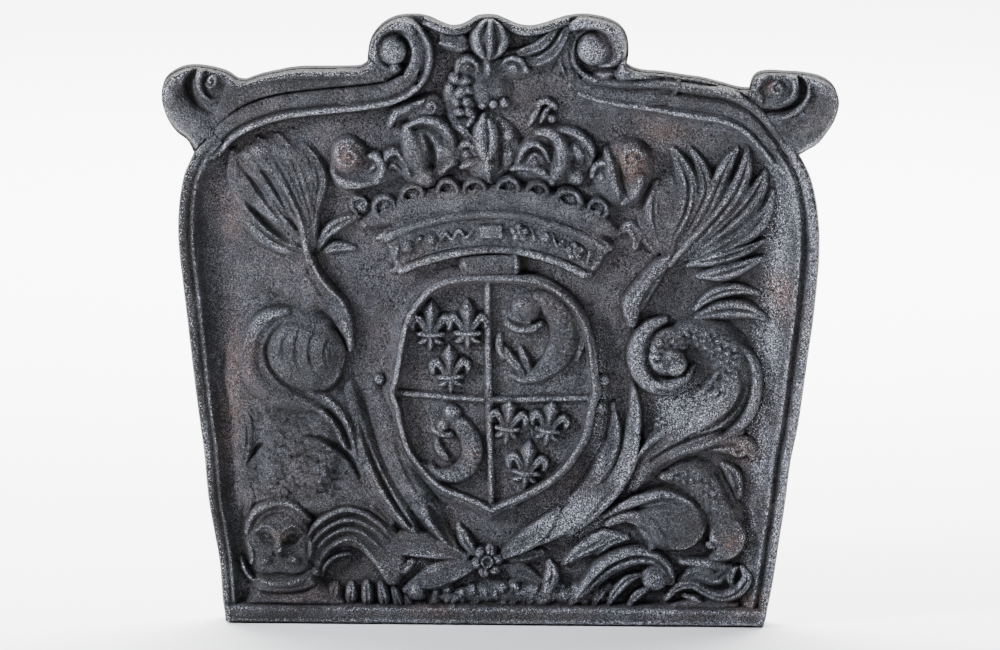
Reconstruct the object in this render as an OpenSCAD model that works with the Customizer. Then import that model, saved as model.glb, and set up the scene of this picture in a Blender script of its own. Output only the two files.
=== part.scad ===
// Cast-iron fireback: an arched plate with moulded border, corner scrolls, crown,
// quartered oval shield and two leaf-tailed dolphins, each carved member its own solid.
// Z is up, X to the viewer's right, the carved face looks toward -Y.
// The origin is the middle of the flat bottom edge, halfway through the plate.
// Points are hand-read from the drawing sheet: x to the right, y down, 1 unit = 1 mm.

/* [Drawing] */
// Width of the casting from ear to ear
casting_width = 672; // [600:1:740]
// Height of the casting from foot to crest
casting_height = 615; // [550:1:680]

/* [Plate] */
// Thickness of the plain plate behind the carving
plate_thickness = 20; // [14:1:40]

/* [Border] */
// Height of the side rails above the ground
rail_rise = 16; // [8:1:26]
// Width of the side rails, outer bead to inner foot
rail_width = 30; // [20:1:40]
// Height of the inner moulding under the top edge
moulding_rise = 15; // [8:1:26]
// Width of the inner moulding under the top edge
moulding_width = 27; // [16:1:32]
// Height of the outer band along the top edge
top_band_rise = 14; // [8:1:26]
// Width of the outer band along the top edge
top_band_width = 18; // [10:1:20]
// Height of the flat strip along the foot
foot_band_rise = 16; // [8:1:26]
// Height of that strip from the foot upward
foot_band_height = 17; // [10:1:24]
// Rise of the corner ears
ear_rise = 17; // [8:1:26]
// Diameter of the eye in each corner ear
ear_eye_diameter = 27; // [16:1:32]
// Rise of the eyes of the corner ears
ear_eye_rise = 15; // [8:1:26]
// Rise of the coils of the crest volutes
volute_rise = 17; // [8:1:26]
// Width of those coils where they are broadest
volute_width = 21; // [12:1:22]
// Diameter of the eye boss in each crest volute
volute_eye_diameter = 27; // [16:1:32]
// Rise of the eye bosses of the crest volutes
volute_eye_rise = 16; // [8:1:26]
// Rise of the thin lip along the crest's top edge
crest_edge_rise = 13; // [6:1:24]
// Width of that lip
crest_edge_width = 8; // [4:0.5:12]

/* [Crown] */
// Rise of the bud on top of the crown
bud_rise = 18; // [8:1:26]
// Rise of the leaves either side of the bud
crest_leaf_rise = 11; // [5:1:20]
// Rise of the crown's finial with its side curls
finial_rise = 13; // [6:1:22]
// Diameter of the pearls under the finial
pearl_diameter = 11; // [6:0.5:12]
// Rise of those pearls
pearl_rise = 10; // [5:1:18]
// Rise of the middle leaf of the crown
fleuron_rise = 17; // [8:1:26]
// Rise of the side leaves of the crown
side_fleuron_rise = 16; // [8:1:26]
// Rise of the round knobs at the crown's ends
crown_knob_rise = 18; // [8:1:26]
// Rise of the small arches on top of the circlet
arch_rise = 11; // [5:1:20]
// Rise of the circlet band
circlet_rise = 9; // [4:1:18]
// How far the two beads stand out of the circlet band
circlet_bead_rise = 5; // [2:0.5:10]
// How far the jewels stand out of the circlet band
jewel_rise = 3.5; // [1:0.5:8]

/* [Shield] */
// Rise of the shield's field above the ground
field_rise = 7; // [3:1:16]
// Width of the rim bead
rim_width = 8; // [4:0.5:12]
// How far the rim bead stands above the field
rim_rise = 6; // [2:0.5:10]
// Width of the bars that quarter the shield
bar_width = 6; // [3:0.5:10]
// How far those bars stand above the field
bar_rise = 4; // [1:0.5:8]
// Height of one lily
lily_height = 46; // [30:1:50]
// How far the lilies stand above the field
lily_rise = 6; // [2:0.5:12]
// How far the small dolphins stand above the field
small_dolphin_rise = 9; // [3:0.5:14]
// Rise of the clasp between circlet and shield
clasp_rise = 13; // [9:1:20]

/* [Large dolphins] */
// Rise of the leafy tail plumes
plume_rise = 15; // [6:1:24]
// Rise of the tail stems under the plumes
tail_rise = 14; // [6:1:24]
// Rise of the coiled tails
coil_rise = 20; // [8:1:28]
// Rise of the bodies
body_rise = 19; // [8:1:28]
// Rise of the side fins
fin_rise = 12; // [5:1:20]
// Rise of the heads
head_rise = 21; // [8:1:28]

/* [Ribbons and leaves] */
// Rise of the ribbons beside the shield
ribbon_rise = 13; // [5:1:22]
// Rise of the arched scrolls beside the left head
scroll_rise = 14; // [5:1:22]
// Rise of the acanthus scroll under the right head
acanthus_rise = 15; // [5:1:22]
// Rise of the leaf stems beside the rosette
stem_rise = 12; // [5:1:20]
// Rise of the petals and waves along the foot
petal_rise = 12; // [5:1:20]
// Diameter of the rosette
rosette_diameter = 34; // [22:1:40]
// Rise of the rosette
rosette_rise = 15; // [6:1:22]

/* [Hidden] */
$fn = 24;
ground = plate_thickness / 2;
// carvings are drawn this tall, then brought to their named rise
full = 10;
// the sheet was drawn half a degree off square and a little flattened
lean = 0.0088;
flattening = 0.985;
// the drawing's datum: middle of the foot line, where the model's origin lies
datum = [495.5, 621.2];
// the casting's width and height on the drawing, and the shares they are brought to size by
drawn = [672, 615];
across = casting_width / drawn[0];
upward = casting_height / drawn[1];

// From the sheet to the upright drawing, in mm
function at(x, y) = [(x - datum[0]) - lean * (datum[1] - y),
  (datum[1] - y) / flattening + lean * (x - datum[0])];
function upright(p) = concat(at(p[0], p[1]), [for (i = [2:1:len(p) - 1]) p[i]]);

// A smooth line through hand-chosen points, n steps to each stretch
function between(a, b, c, d, t) = 0.5 * (2 * b + (c - a) * t
  + (2 * a - 5 * b + 4 * c - d) * t * t + (3 * b - a - 3 * c + d) * t * t * t);
function smooth(p, n) = let (m = len(p)) concat(
  [for (i = [0:m - 2]) for (k = [0:n - 1])
    between(p[max(i - 1, 0)], p[i], p[i + 1], p[min(i + 2, m - 1)], k / n)],
  [p[m - 1]]);
function unit(v) = v / max(norm(v), 0.001);
function way(q, i) = let (a = q[max(i - 1, 0)], b = q[min(i + 1, len(q) - 1)])
  unit([b[0] - a[0], b[1] - a[1]]);

// A section carried along stations [x, y, width factor, height factor];
// the section's first axis points to the right of the way
module carried(q, section) {
  m = len(q);
  k = len(section);
  pts = [for (i = [0:m - 1]) let (w = way(q, i)) for (s = section)
    [q[i][0] + w[1] * s[0] * q[i][2], q[i][1] - w[0] * s[0] * q[i][2], s[1] * q[i][3]]];
  sides = [for (i = [0:m - 2]) for (j = [0:k - 1]) let (j2 = (j + 1) % k)
    each [[i * k + j, (i + 1) * k + j, (i + 1) * k + j2], [i * k + j, (i + 1) * k + j2, i * k + j2]]];
  polyhedron(pts, concat(sides,
    [[for (j = [0:k - 1]) j]], [[for (j = [k - 1:-1:0]) (m - 1) * k + j]]), convexity = 6);
}

// The same section carried round a closed way
module carried_round(q, section) {
  m = len(q);
  k = len(section);
  pts = [for (i = [0:m - 1]) let (a = q[(i + m - 1) % m], b = q[(i + 1) % m],
    w = unit([b[0] - a[0], b[1] - a[1]])) for (s = section)
    [q[i][0] + w[1] * s[0] * q[i][2], q[i][1] - w[0] * s[0] * q[i][2], s[1] * q[i][3]]];
  polyhedron(pts, [for (i = [0:m - 1]) let (n = (i + 1) % m) for (j = [0:k - 1]) let (j2 = (j + 1) % k)
    each [[i * k + j, n * k + j, n * k + j2], [i * k + j, n * k + j2, i * k + j2]]], convexity = 6);
}

// A rounded carved stroke through sheet points [x, y, width, share of the rise]
round_section = [for (a = [180:-45:0]) [cos(a), sin(a)]];
module stroke(p, n = 2) {
  q = smooth([for (s = p) upright(s)], n);
  carried([for (s = q) [s[0], s[1], max(s[2], 1) / 2, max(s[3], 0.05) * full]],
    round_section);
}

// A rounded knob, with an optional longer way and its slant
module knob(x, y, d, share = 1, long = 1, slant = 0) {
  translate(concat(at(x, y), [0])) rotate([0, 0, slant])
    scale([1, long, share]) rotate_extrude($fn = 12)
      polygon([[0, 0], [d * 0.5, 0], [d * 0.47, full * 0.38], [d * 0.37, full * 0.72],
        [d * 0.2, full * 0.94], [0, full]]);
}

// A little curl: a rounded ring
module curl(x, y, d, wire, share = 1) {
  translate(concat(at(x, y), [0])) scale([1, 1, share])
    rotate_extrude($fn = 12) translate([(d - wire) / 2, 0])
      polygon([for (s = round_section) [s[0] * wire / 2, s[1] * full]]);
}

// Brings what is drawn to the casting's own width and height
module to_size() scale([across, upward, 1]) children();

// Sets a carving upright on the face of the plate, `seat` above the ground
module planted(rise, seat = 0) {
  translate([0, -ground - seat, 0]) rotate([90, 0, 0]) resize([0, 0, rise]) to_size() children();
}
// The same for members that are drawn at their true rise
module laid(seat = 0) {
  translate([0, -ground - seat, 0]) rotate([90, 0, 0]) to_size() children();
}

// Trims the first carving to the outlines of the others, as members fitted edge to edge
module fitted() difference() {
  children(0);
  translate([0, 0, -full]) linear_extrude(4 * full) projection() children([1:1:$children - 1]);
}
// The foot strip's place on the drawing, for members that stand on it
module foot_strip() scale([1, 1 / upward, 1])
  translate([-400, -100, 0]) cube([800, 100 + foot_band_height, full]);

// ---- outline of the casting, in stretches that meet at corners ----
side_left = [[226, datum[1]], [222, 600], [219, 560], [213, 525], [208, 495], [204, 450], [200, 420],
  [195, 380], [190, 335], [185, 290], [180.5, 250], [179.5, 225], [181, 200], [185, 178],
  [190, 165], [196, 152]];
edge_ear_left = [[196, 152], [190, 140], [180, 132], [172, 122], [166, 108], [164, 94], [167, 81],
  [175, 73], [187, 67.5], [200, 66.5], [215, 68.5], [230, 73], [240, 79.5], [248, 80.5]];
edge_top_left = [[248, 80.5], [262, 75.5], [280, 71.5], [300, 68.3], [330, 68], [350, 67.7], [362, 67],
  [368, 63]];
edge_crest = [[368, 63], [368.8, 52], [371, 42], [376, 33], [384, 25], [395, 19], [405, 17], [418, 16.5],
  [430, 19], [441, 24], [451, 27.5], [460, 27], [468, 23.5], [476, 18.5], [485, 17], [496, 17.5],
  [507, 22], [518, 26.5], [530, 28], [543, 25.5], [555, 21.5], [567, 18], [583, 16.5], [595, 18],
  [606, 20.5], [617, 26], [624, 34], [627, 44], [627, 55], [625, 65]];
edge_top_right = [[625, 65], [633, 69.5], [645, 72], [660, 73], [680, 76], [700, 79], [720, 84],
  [735, 88], [747, 89]];
edge_ear_right = [[747, 89], [749.5, 80], [755, 74], [765, 72], [780, 72.5], [800, 74], [817, 77.5],
  [828, 84], [833.5, 92], [836, 101], [835, 110], [831, 121], [824, 132], [815, 143], [805, 149],
  [795.5, 154.5]];
side_right = [[795.5, 154.5], [803, 166], [809, 180], [814, 200], [817, 225], [817.5, 250],
  [816, 275], [812, 315], [808, 345], [802, 390], [797, 425], [790, 460], [785, 500], [779, 540],
  [773, 580], [768, 606], [765, datum[1]]];
function uprights(p) = [for (s = p) upright(s)];
function stretch(p, n) = let (q = smooth(uprights(p), n)) [for (i = [0:len(q) - 2]) q[i]];
function level(q) = [for (s = q) [s[0], max(s[1], 0)]];
outline = level(concat(stretch(side_left, 2), stretch(edge_ear_left, 3), stretch(edge_top_left, 2),
  stretch(edge_crest, 3), stretch(edge_top_right, 2), stretch(edge_ear_right, 3),
  stretch(side_right, 2), [[at(765, datum[1])[0], 0]]));

// The plain slab: the board that everything else is cast onto
module plate() color("dimgray")
  translate([0, ground, 0]) rotate([90, 0, 0]) to_size() linear_extrude(plate_thickness) polygon(outline);

// Flat strip along the foot, between the side edges
module foot_band() color("dimgray") intersection() {
  laid() linear_extrude(foot_band_rise) polygon(outline);
  translate([-casting_width, -ground - foot_band_rise, 0])
    cube([2 * casting_width, foot_band_rise, foot_band_height]);
}

// Bead, groove and sloping foot of the border, as shares of its width and rise
border_section = [[0, 0], [0, 0.72], [0.06, 0.92], [0.2, 1], [0.34, 0.92], [0.42, 0.66], [0.52, 0.6],
  [0.62, 0.7], [0.74, 0.6], [0.92, 0.2], [1, 0]];
// Broad flat band with a rolled outer edge
band_section = [[0, 0], [0, 0.8], [0.12, 1], [0.3, 0.92], [0.5, 0.8], [0.85, 0.78], [1, 0.5], [1, 0]];
module border(p, width, section, n = 2) carried([for (s = smooth(uprights(p), n))
  [s[0], s[1], width * s[2], full]], section);

module rail_left_shape() border([[223.5, 612, 0.8], [222.8, 604, 0.8], [219, 560, 0.82], [213, 525, 0.85],
  [208, 495, 0.88], [204, 450, 0.9], [200, 420, 0.92], [195, 380, 0.95], [190, 335, 1], [185, 290, 1.04],
  [180.5, 250, 1.08], [179.5, 225, 1.08], [181, 200, 1.06], [185, 178, 1], [192, 161, 0.95],
  [203, 145, 0.9], [219, 128, 0.88]], rail_width, border_section);
module rail_left() color("slategray") planted(rail_rise) fitted() { rail_left_shape(); foot_strip(); }
module rail_right_shape() border([[776, 131, 0.88], [791, 147, 0.9], [802, 164, 0.95],
  [809, 180, 1], [814, 200, 1.02], [817, 225, 1.02], [817.5, 250, 1], [816, 275, 1], [812, 315, 1],
  [808, 345, 0.98], [802, 390, 0.95], [797, 425, 0.92], [790, 460, 0.9], [785, 500, 0.88],
  [779, 540, 0.86], [773, 580, 0.85], [769, 604, 0.85], [767, 612, 0.85]], rail_width, border_section);
module rail_right() color("slategray") planted(rail_rise) fitted() { rail_right_shape(); foot_strip(); }

// Inner moulding: runs on from the rail's corner and dips under the top edge
module moulding_left_shape() border([[220, 127, 0.95], [236, 115, 1], [256, 105, 1],
  [276, 98, 1], [300, 93.5, 1], [330, 90, 1], [360, 87, 1], [384, 83, 0.98], [396, 78, 0.95]],
  moulding_width, border_section);
module moulding_left() color("slategray") planted(moulding_rise) fitted() {
  moulding_left_shape();
  rail_left_shape();
  volute_left_shape();
}
module moulding_right_shape() border([[600, 79, 0.95], [625, 84, 1], [650, 90, 1],
  [680, 95, 1.05], [705, 99, 1.1], [728, 105, 1.1], [748, 113, 1.05], [764, 122, 1], [775, 130, 0.97]],
  moulding_width, border_section);
module moulding_right() color("slategray") planted(moulding_rise) fitted() {
  moulding_right_shape();
  rail_right_shape();
  volute_right_shape();
}

// Outer band along the top edge, from ear to crest
module top_band_left_shape() border([[236, 78, 0.9], [248, 80.5, 1], [262, 75.5, 1.05],
  [280, 71.5, 1.1], [300, 68.3, 1.2], [330, 68, 1.1], [350, 67.7, 1], [366, 66, 0.9]],
  top_band_width, band_section);
module top_band_left() color("slategray") planted(top_band_rise) fitted() {
  top_band_left_shape();
  moulding_left_shape();
  ear_eye_left_shape();
  volute_left_shape();
}
module top_band_right_shape() border([[628, 67, 0.85], [645, 72, 0.9], [660, 73, 1],
  [680, 76, 1], [700, 79, 1], [720, 84, 1], [735, 88, 1], [748, 92, 0.95]],
  top_band_width, band_section);
module top_band_right() color("slategray") planted(top_band_rise) fitted() {
  top_band_right_shape();
  moulding_right_shape();
  ear_eye_right_shape();
  volute_right_shape();
}

// Corner ears: the rolled-over ends of the top edge, each with a round eye
module ear_left_shape() {
  stroke([[205, 140, 14, 0.7], [193, 124, 30, 0.9], [181, 108, 32, 1], [178, 92, 27, 1], [184, 78, 20, 0.95],
    [196, 71, 9, 0.7]], 3);
  stroke([[196, 138, 10, 0.7], [205, 122, 24, 0.85], [216, 112, 10, 0.7]], 2);
}
module ear_left() color("slategray") planted(ear_rise) fitted() {
  ear_left_shape();
  rail_left_shape();
  moulding_left_shape();
  ear_eye_left_shape();
}
module ear_right_shape() {
  stroke([[789, 142, 14, 0.7], [803, 129, 32, 0.9], [815, 113, 38, 1], [818, 95, 33, 1], [809, 82, 16, 0.9],
    [798, 76, 5, 0.6]], 3);
  stroke([[762, 114, 5, 0.6], [777, 119, 12, 0.8], [793, 119, 22, 0.9]], 2);
}
module ear_right() color("slategray") planted(ear_rise) fitted() {
  ear_right_shape();
  rail_right_shape();
  moulding_right_shape();
  ear_eye_right_shape();
}
module ear_eye_left_shape() knob(213, 83, ear_eye_diameter, 1, 1.05, -60);
module ear_eye_left() color("slategray") planted(ear_eye_rise) ear_eye_left_shape();
module ear_eye_right_shape() knob(775, 89, ear_eye_diameter, 1, 1.2, 60);
module ear_eye_right() color("slategray") planted(ear_eye_rise) ear_eye_right_shape();

// Crest volutes: the inner moulding rolled up, each round a boss
module volute_left_shape() carried([for (s = smooth(uprights([[392, 80, 0.95], [403, 72, 1], [410, 62, 1.02], [412, 51, 1],
    [407, 41, 1], [398, 36.5, 0.95], [388, 38, 0.85], [382, 46, 0.6], [381, 56, 0.45]]), 3))
  [s[0], s[1], volute_width * s[2], full]], border_section);
module volute_left() color("slategray") planted(volute_rise) volute_left_shape();
module volute_right_shape() carried([for (s = smooth(uprights([[615, 60, 0.45], [611, 43, 0.6], [602, 36, 0.85], [590, 33, 0.85],
    [578, 38, 0.7], [574, 50, 0.68], [576, 62, 0.8], [583, 73, 1], [598, 80, 1.1]]), 3))
  [s[0], s[1], volute_width * s[2], full]], border_section);
module volute_right() color("slategray") planted(volute_rise) volute_right_shape();
module volute_eye_left() color("slategray") planted(volute_eye_rise)
  knob(394.5, 53, volute_eye_diameter);
module volute_eye_right() color("slategray") planted(volute_eye_rise)
  knob(592, 53, volute_eye_diameter, 1, 1.12, 90);

// Lip of the crest between the two volutes
module crest_edge_shape() border([[429, 18.5, 0.9], [441, 24, 1], [451, 27.5, 1], [460, 27, 1],
  [468, 23.5, 1], [476, 18.5, 0.9], [485, 17, 0.7], [496, 17.5, 0.7], [507, 22, 0.9], [518, 26.5, 1],
  [530, 28, 1], [543, 25.5, 1], [555, 21.5, 1], [567, 18, 0.9]], crest_edge_width, band_section);
module crest_edge() color("slategray") planted(crest_edge_rise) fitted() {
  crest_edge_shape();
  volute_left_shape();
  volute_right_shape();
  crest_bud_shape();
}

// ---- crown ----
module crest_bud_shape()
  stroke([[489, 57, 14, 0.6], [489, 50, 34, 0.95], [489, 40, 40, 1], [489.5, 30, 32, 0.95],
    [490, 23, 14, 0.6]]);
module crest_bud() color("gray") planted(bud_rise) crest_bud_shape();
module crest_leaves() color("gray") planted(crest_leaf_rise) fitted() {
  crest_leaves_shape();
  crest_edge_shape();
  volute_left_shape();
  volute_right_shape();
  crest_bud_shape();
}
module crest_leaves_shape() {
  stroke([[503, 57, 3, 0.4], [520, 53, 8, 0.9], [538, 46, 10, 1], [556, 30, 6, 0.7]]);
  stroke([[518, 66, 3, 0.4], [538, 62, 8, 0.9], [553, 51, 9, 1], [567, 32, 6, 0.7]]);
  stroke([[441, 42, 4, 0.4], [452, 44, 16, 0.8], [466, 47, 8, 0.5]]);
  stroke([[438, 52, 3, 0.4], [450, 59, 8, 0.7], [462, 56, 4, 0.5]]);
}
module crown_finial() color("gray") planted(finial_rise) fitted() {
  crown_finial_shape();
  crest_leaves_shape();
  crown_pearls_shape();
  crest_bud_shape();
}
module crown_finial_shape() {
  stroke([[488, 60, 8, 0.6], [488, 70, 18, 1], [488, 80, 8, 0.6]]);
  stroke([[487, 78, 14, 0.6], [486, 90, 26, 0.8], [486, 99, 20, 0.6]]);
  curl(467, 69, 23, 8, 0.85);
  curl(518, 71, 20, 8, 0.75);
  stroke([[450, 82, 5, 0.5], [455, 92, 12, 0.8], [457, 108, 14, 0.9], [467, 122, 10, 0.6]]);
  stroke([[391, 124, 5, 0.4], [403, 112, 14, 0.8], [420, 105, 10, 0.7]]);
  curl(432, 107, 18, 7, 0.8);
  stroke([[532, 122, 5, 0.4], [538, 112, 9, 0.8], [545, 104, 7, 0.7], [553, 102, 4, 0.4]]);
}
module crown_pearls_shape() for (x = [470, 482, 493, 504]) knob(x, 104, pearl_diameter);
module crown_pearls() color("gray") planted(pearl_rise) crown_pearls_shape();
module fleuron_middle() color("gray") planted(fleuron_rise) fleuron_middle_shape();
module fleuron_middle_shape() {
  stroke([[484, 118, 8, 0.5], [485, 130, 24, 0.95], [486, 146, 23, 1], [487, 157, 12, 0.7]]);
  stroke([[487, 156, 8, 0.6], [488, 168, 27, 0.9], [490, 180, 8, 0.5]]);
  knob(468, 150, 17, 0.7, 1.2, 20);
  stroke([[455, 128, 6, 0.5], [465, 132, 12, 0.7], [472, 142, 8, 0.6]]);
  stroke([[509, 128, 6, 0.4], [508, 140, 16, 0.6], [509, 154, 6, 0.4]]);
}
module fleuron_left() color("gray") planted(side_fleuron_rise) fitted() {
  fleuron_left_shape();
  fleuron_middle_shape();
}
module fleuron_left_shape() {
  stroke([[404, 130, 6, 0.5], [410, 142, 19, 1], [416, 157, 22, 0.95], [421, 168, 12, 0.6]]);
  stroke([[408, 128, 5, 0.5], [424, 123, 14, 0.9], [440, 128, 15, 0.9], [452, 140, 11, 0.8],
    [457, 155, 7, 0.5]]);
  stroke([[433, 142, 9, 0.6], [438, 156, 14, 0.75], [441, 171, 9, 0.5]]);
  stroke([[388, 160, 6, 0.5], [396, 156, 12, 0.8], [402, 166, 11, 0.7], [412, 172, 6, 0.5]]);
  knob(424, 178, 19, 0.7, 1.05);
}
module fleuron_right() color("gray") planted(side_fleuron_rise) {
  stroke([[522, 143, 8, 0.6], [538, 139, 15, 0.85], [556, 142, 20, 1], [563, 155, 20, 0.95],
    [560, 170, 13, 0.7]]);
  curl(534, 159, 23, 8, 0.85);
  stroke([[516, 172, 6, 0.4], [532, 170, 13, 0.65], [550, 176, 9, 0.5]]);
  stroke([[572, 136, 6, 0.4], [586, 144, 12, 0.6], [590, 156, 7, 0.4]]);
}
module crown_knob_left() color("gray") planted(crown_knob_rise) crown_knob_left_shape();
module crown_knob_left_shape() {
  knob(350, 157, 38, 1);
  stroke([[338, 172, 10, 0.5], [347, 184, 16, 0.7], [361, 183, 10, 0.5]]);
  stroke([[366, 160, 6, 0.5], [378, 164, 15, 0.75], [377, 178, 13, 0.6], [364, 188, 5, 0.4]]);
}
module crown_knob_right() color("gray") planted(crown_knob_rise) crown_knob_right_shape();
module crown_knob_right_shape() {
  knob(630, 162, 38, 1, 1.1);
  stroke([[607, 150, 8, 0.6], [611, 164, 18, 0.9], [613, 180, 18, 0.8], [620, 196, 10, 0.5]]);
  curl(600, 173, 20, 8, 0.7);
  stroke([[634, 180, 12, 0.7], [630, 192, 16, 0.6], [621, 202, 8, 0.4]]);
}
// Row of small arches with knobs between the circlet and the crown's leaves
module crown_arches() color("gray") planted(arch_rise) fitted() {
  crown_arches_shape();
  crown_knob_right_shape();
  crown_knob_left_shape();
  linear_extrude(full) circlet_outline();
}
module crown_arches_shape() {
  for (a = [[384, 206, 22], [412, 195, 22], [447, 191, 20], [474, 189, 22], [508, 189, 22],
      [536, 192, 22], [568, 201, 26]])
    curl(a[0], a[1], a[2], 8, 0.9);
  knob(358, 202, 16, 0.8, 1.4, 40);
  knob(597, 207, 20, 1);
  knob(612, 197, 12, 0.7);
}
// Arched band of the crown
circlet_top = [[385, 231], [400, 224], [420, 217], [450, 210.5], [490, 207.5], [520, 209.5], [550, 217],
  [580, 228], [606, 243]];
circlet_foot = [[583, 274], [565, 265], [545, 258], [520, 253], [490, 251], [460, 254], [440, 258],
  [420, 265], [403, 271]];
module circlet_outline() polygon(concat(smooth([for (p = circlet_top) at(p[0], p[1])], 3),
  smooth([for (p = circlet_foot) at(p[0], p[1])], 3)));
module circlet() color("gray") laid() linear_extrude(circlet_rise) circlet_outline();
module circlet_beads() color("gray") planted(circlet_bead_rise, circlet_rise) {
  stroke([[384, 236, 9, 0.95], [400, 230, 10, 1], [420, 223, 10, 1], [450, 216.5, 10, 1],
    [490, 213.5, 10, 1], [520, 215.5, 10, 1], [550, 223, 10, 1], [578, 233, 10, 1], [604, 247, 9, 0.95]]);
  stroke([[398, 266, 7, 0.85], [420, 258, 8, 0.9], [440, 252, 8, 0.9], [460, 248, 8, 0.9],
    [490, 245, 8, 0.9], [520, 247, 8, 0.9], [545, 253, 8, 0.9], [565, 260, 8, 0.9], [585, 270, 7, 0.85]]);
}
module circlet_jewels() color("gray") planted(jewel_rise, circlet_rise) {
  for (j = [[408, 245, 12], [434, 237, 12], [470, 230, 11], [520, 231, 14], [545, 235, 11],
      [575, 250, 15]])
    knob(j[0], j[1], j[2], 0.9, 0.9);
  stroke([[414, 243, 3, 0.5], [421, 238, 7, 0.8], [428, 239, 3, 0.5]]);
  stroke([[446, 239, 3, 0.5], [453, 231, 8, 0.8], [462, 232, 3, 0.5]]);
  stroke([[479, 230, 12, 0.9], [492, 229, 14, 1], [505, 231, 12, 0.9]], 1);
}

// ---- shield ----
shield_edge = [[491, 512], [478, 505], [460, 497.5], [440, 489], [424, 475], [411, 459], [403, 446], [397, 425],
  [393, 405], [388, 390], [392, 375], [396, 353], [399, 335], [404, 316], [414, 299], [428, 284], [447, 275],
  [468, 272], [492, 271.5], [518, 272], [542, 276], [562, 287], [578, 303], [588, 322], [593, 342],
  [596, 365], [599, 388], [595, 402], [592, 415], [588, 434], [580, 449], [570, 464], [557, 477],
  [540, 489], [520, 499], [503, 506], [491, 512]];
module shield_field() color("darkslategray") laid() linear_extrude(field_rise)
  polygon(stretch(shield_edge, 2));
// the rim's middle line runs half a bead inside the field's edge
shield_centre = at(493, 391);
function inside(p, d) = let (v = [p[0], p[1]] - shield_centre) [p[0], p[1]] - unit(v) * d;
module rim_shape() carried_round([for (p = stretch(shield_edge, 2))
  concat(inside(p, rim_width / 2 + 0.6), [rim_width / 2, full])],
  round_section);
module shield_rim() color("darkslategray") planted(rim_rise, field_rise) rim_shape();
module bars_shape() {
  a = at(487.5, 274);
  b = at(491.5, 507);
  w = bar_width / 2;
  linear_extrude(full) polygon([a - [w, 0], b - [w, 0], b + [w, 0], a + [w, 0]]);
  c = at(393, 389.5);
  d = at(490, 397.5);
  e = at(593, 395.5);
  linear_extrude(full * 0.8) polygon([c + [0, w], c - [0, w], d - [0, w], e - [0, w], e + [0, w],
    d + [0, w]]);
}
module shield_bars() color("darkslategray") planted(bar_rise, field_rise) fitted() {
  bars_shape();
  rim_shape();
}
module shield_clasp() color("darkslategray") planted(clasp_rise) fitted() {
  union() {
    stroke([[462, 263, 16, 0.9], [478, 262.5, 17, 1], [500, 262.5, 17, 1], [518, 262, 16, 0.9]]);
    knob(465, 264, 18, 1);
    knob(516, 262, 18, 1);
  }
  linear_extrude(full) circlet_outline();
  linear_extrude(full) polygon(stretch(shield_edge, 2));
}
// One lily: middle leaf, two turned-down side leaves, a tie and a small foot
module lily(x, y) {
  s = lily_height / 46;
  stroke([[x, y - 22 * s, 2, 0.4], [x, y - 12 * s, 13 * s, 1], [x, y, 11 * s, 1], [x, y + 9 * s, 7 * s, 0.8],
    [x, y + 16 * s, 9 * s, 0.7], [x, y + 23 * s, 2, 0.4]]);
  for (m = [-1, 1]) stroke([[x + m * 4 * s, y + 7 * s, 5 * s, 0.6], [x + m * 8 * s, y - 3 * s, 7 * s, 0.8],
    [x + m * 14 * s, y - 3 * s, 7 * s, 0.8], [x + m * 16 * s, y + 4 * s, 4 * s, 0.6]], 1);
  stroke([[x - 10 * s, y + 9 * s, 5 * s, 0.8], [x, y + 10 * s, 5 * s, 0.95], [x + 10 * s, y + 9 * s, 5 * s, 0.8]], 1);
}
module lilies_upper() color("lightslategray") planted(lily_rise, field_rise) fitted() {
  union() {
    lily(431, 324);
    lily(467, 326);
    lily(450, 365);
  }
  bars_shape();
}
module lilies_lower() color("lightslategray") planted(lily_rise, field_rise) fitted() {
  union() {
    lily(509, 419);
    lily(549, 418);
    lily(528, 460);
  }
  bars_shape();
}
// Small dolphins: round head, body bent round, forked tail
module small_dolphin_upper() color("lightslategray") planted(small_dolphin_rise, field_rise) fitted() {
  small_dolphin_upper_shape();
  rim_shape();
  bars_shape();
}
module small_dolphin_upper_shape() {
  knob(527, 306, 28, 0.85);
  stroke([[508, 325, 6, 0.4], [518, 327, 10, 0.6], [533, 326, 8, 0.5]]);
  stroke([[530, 300, 10, 0.6], [548, 306, 22, 0.85], [560, 324, 25, 1], [562, 346, 25, 1],
    [550, 364, 18, 0.85], [533, 374, 11, 0.6], [520, 376, 5, 0.4]]);
  stroke([[510, 340, 6, 0.4], [512, 352, 9, 0.6], [520, 362, 5, 0.4]]);
}
module small_dolphin_lower() color("lightslategray") planted(small_dolphin_rise, field_rise) fitted() {
  small_dolphin_lower_shape();
  rim_shape();
  bars_shape();
}
module small_dolphin_lower_shape() {
  knob(452, 411, 16, 0.75);
  stroke([[437, 420, 6, 0.5], [444, 424, 12, 0.7], [458, 424, 14, 0.75], [468, 440, 17, 0.9],
    [471, 456, 18, 1], [461, 470, 18, 0.9], [446, 474, 14, 0.75], [436, 468, 7, 0.5]]);
  stroke([[434, 436, 5, 0.4], [438, 446, 10, 0.6], [440, 458, 6, 0.4]]);
  knob(428, 466, 14, 0.6);
}

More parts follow.
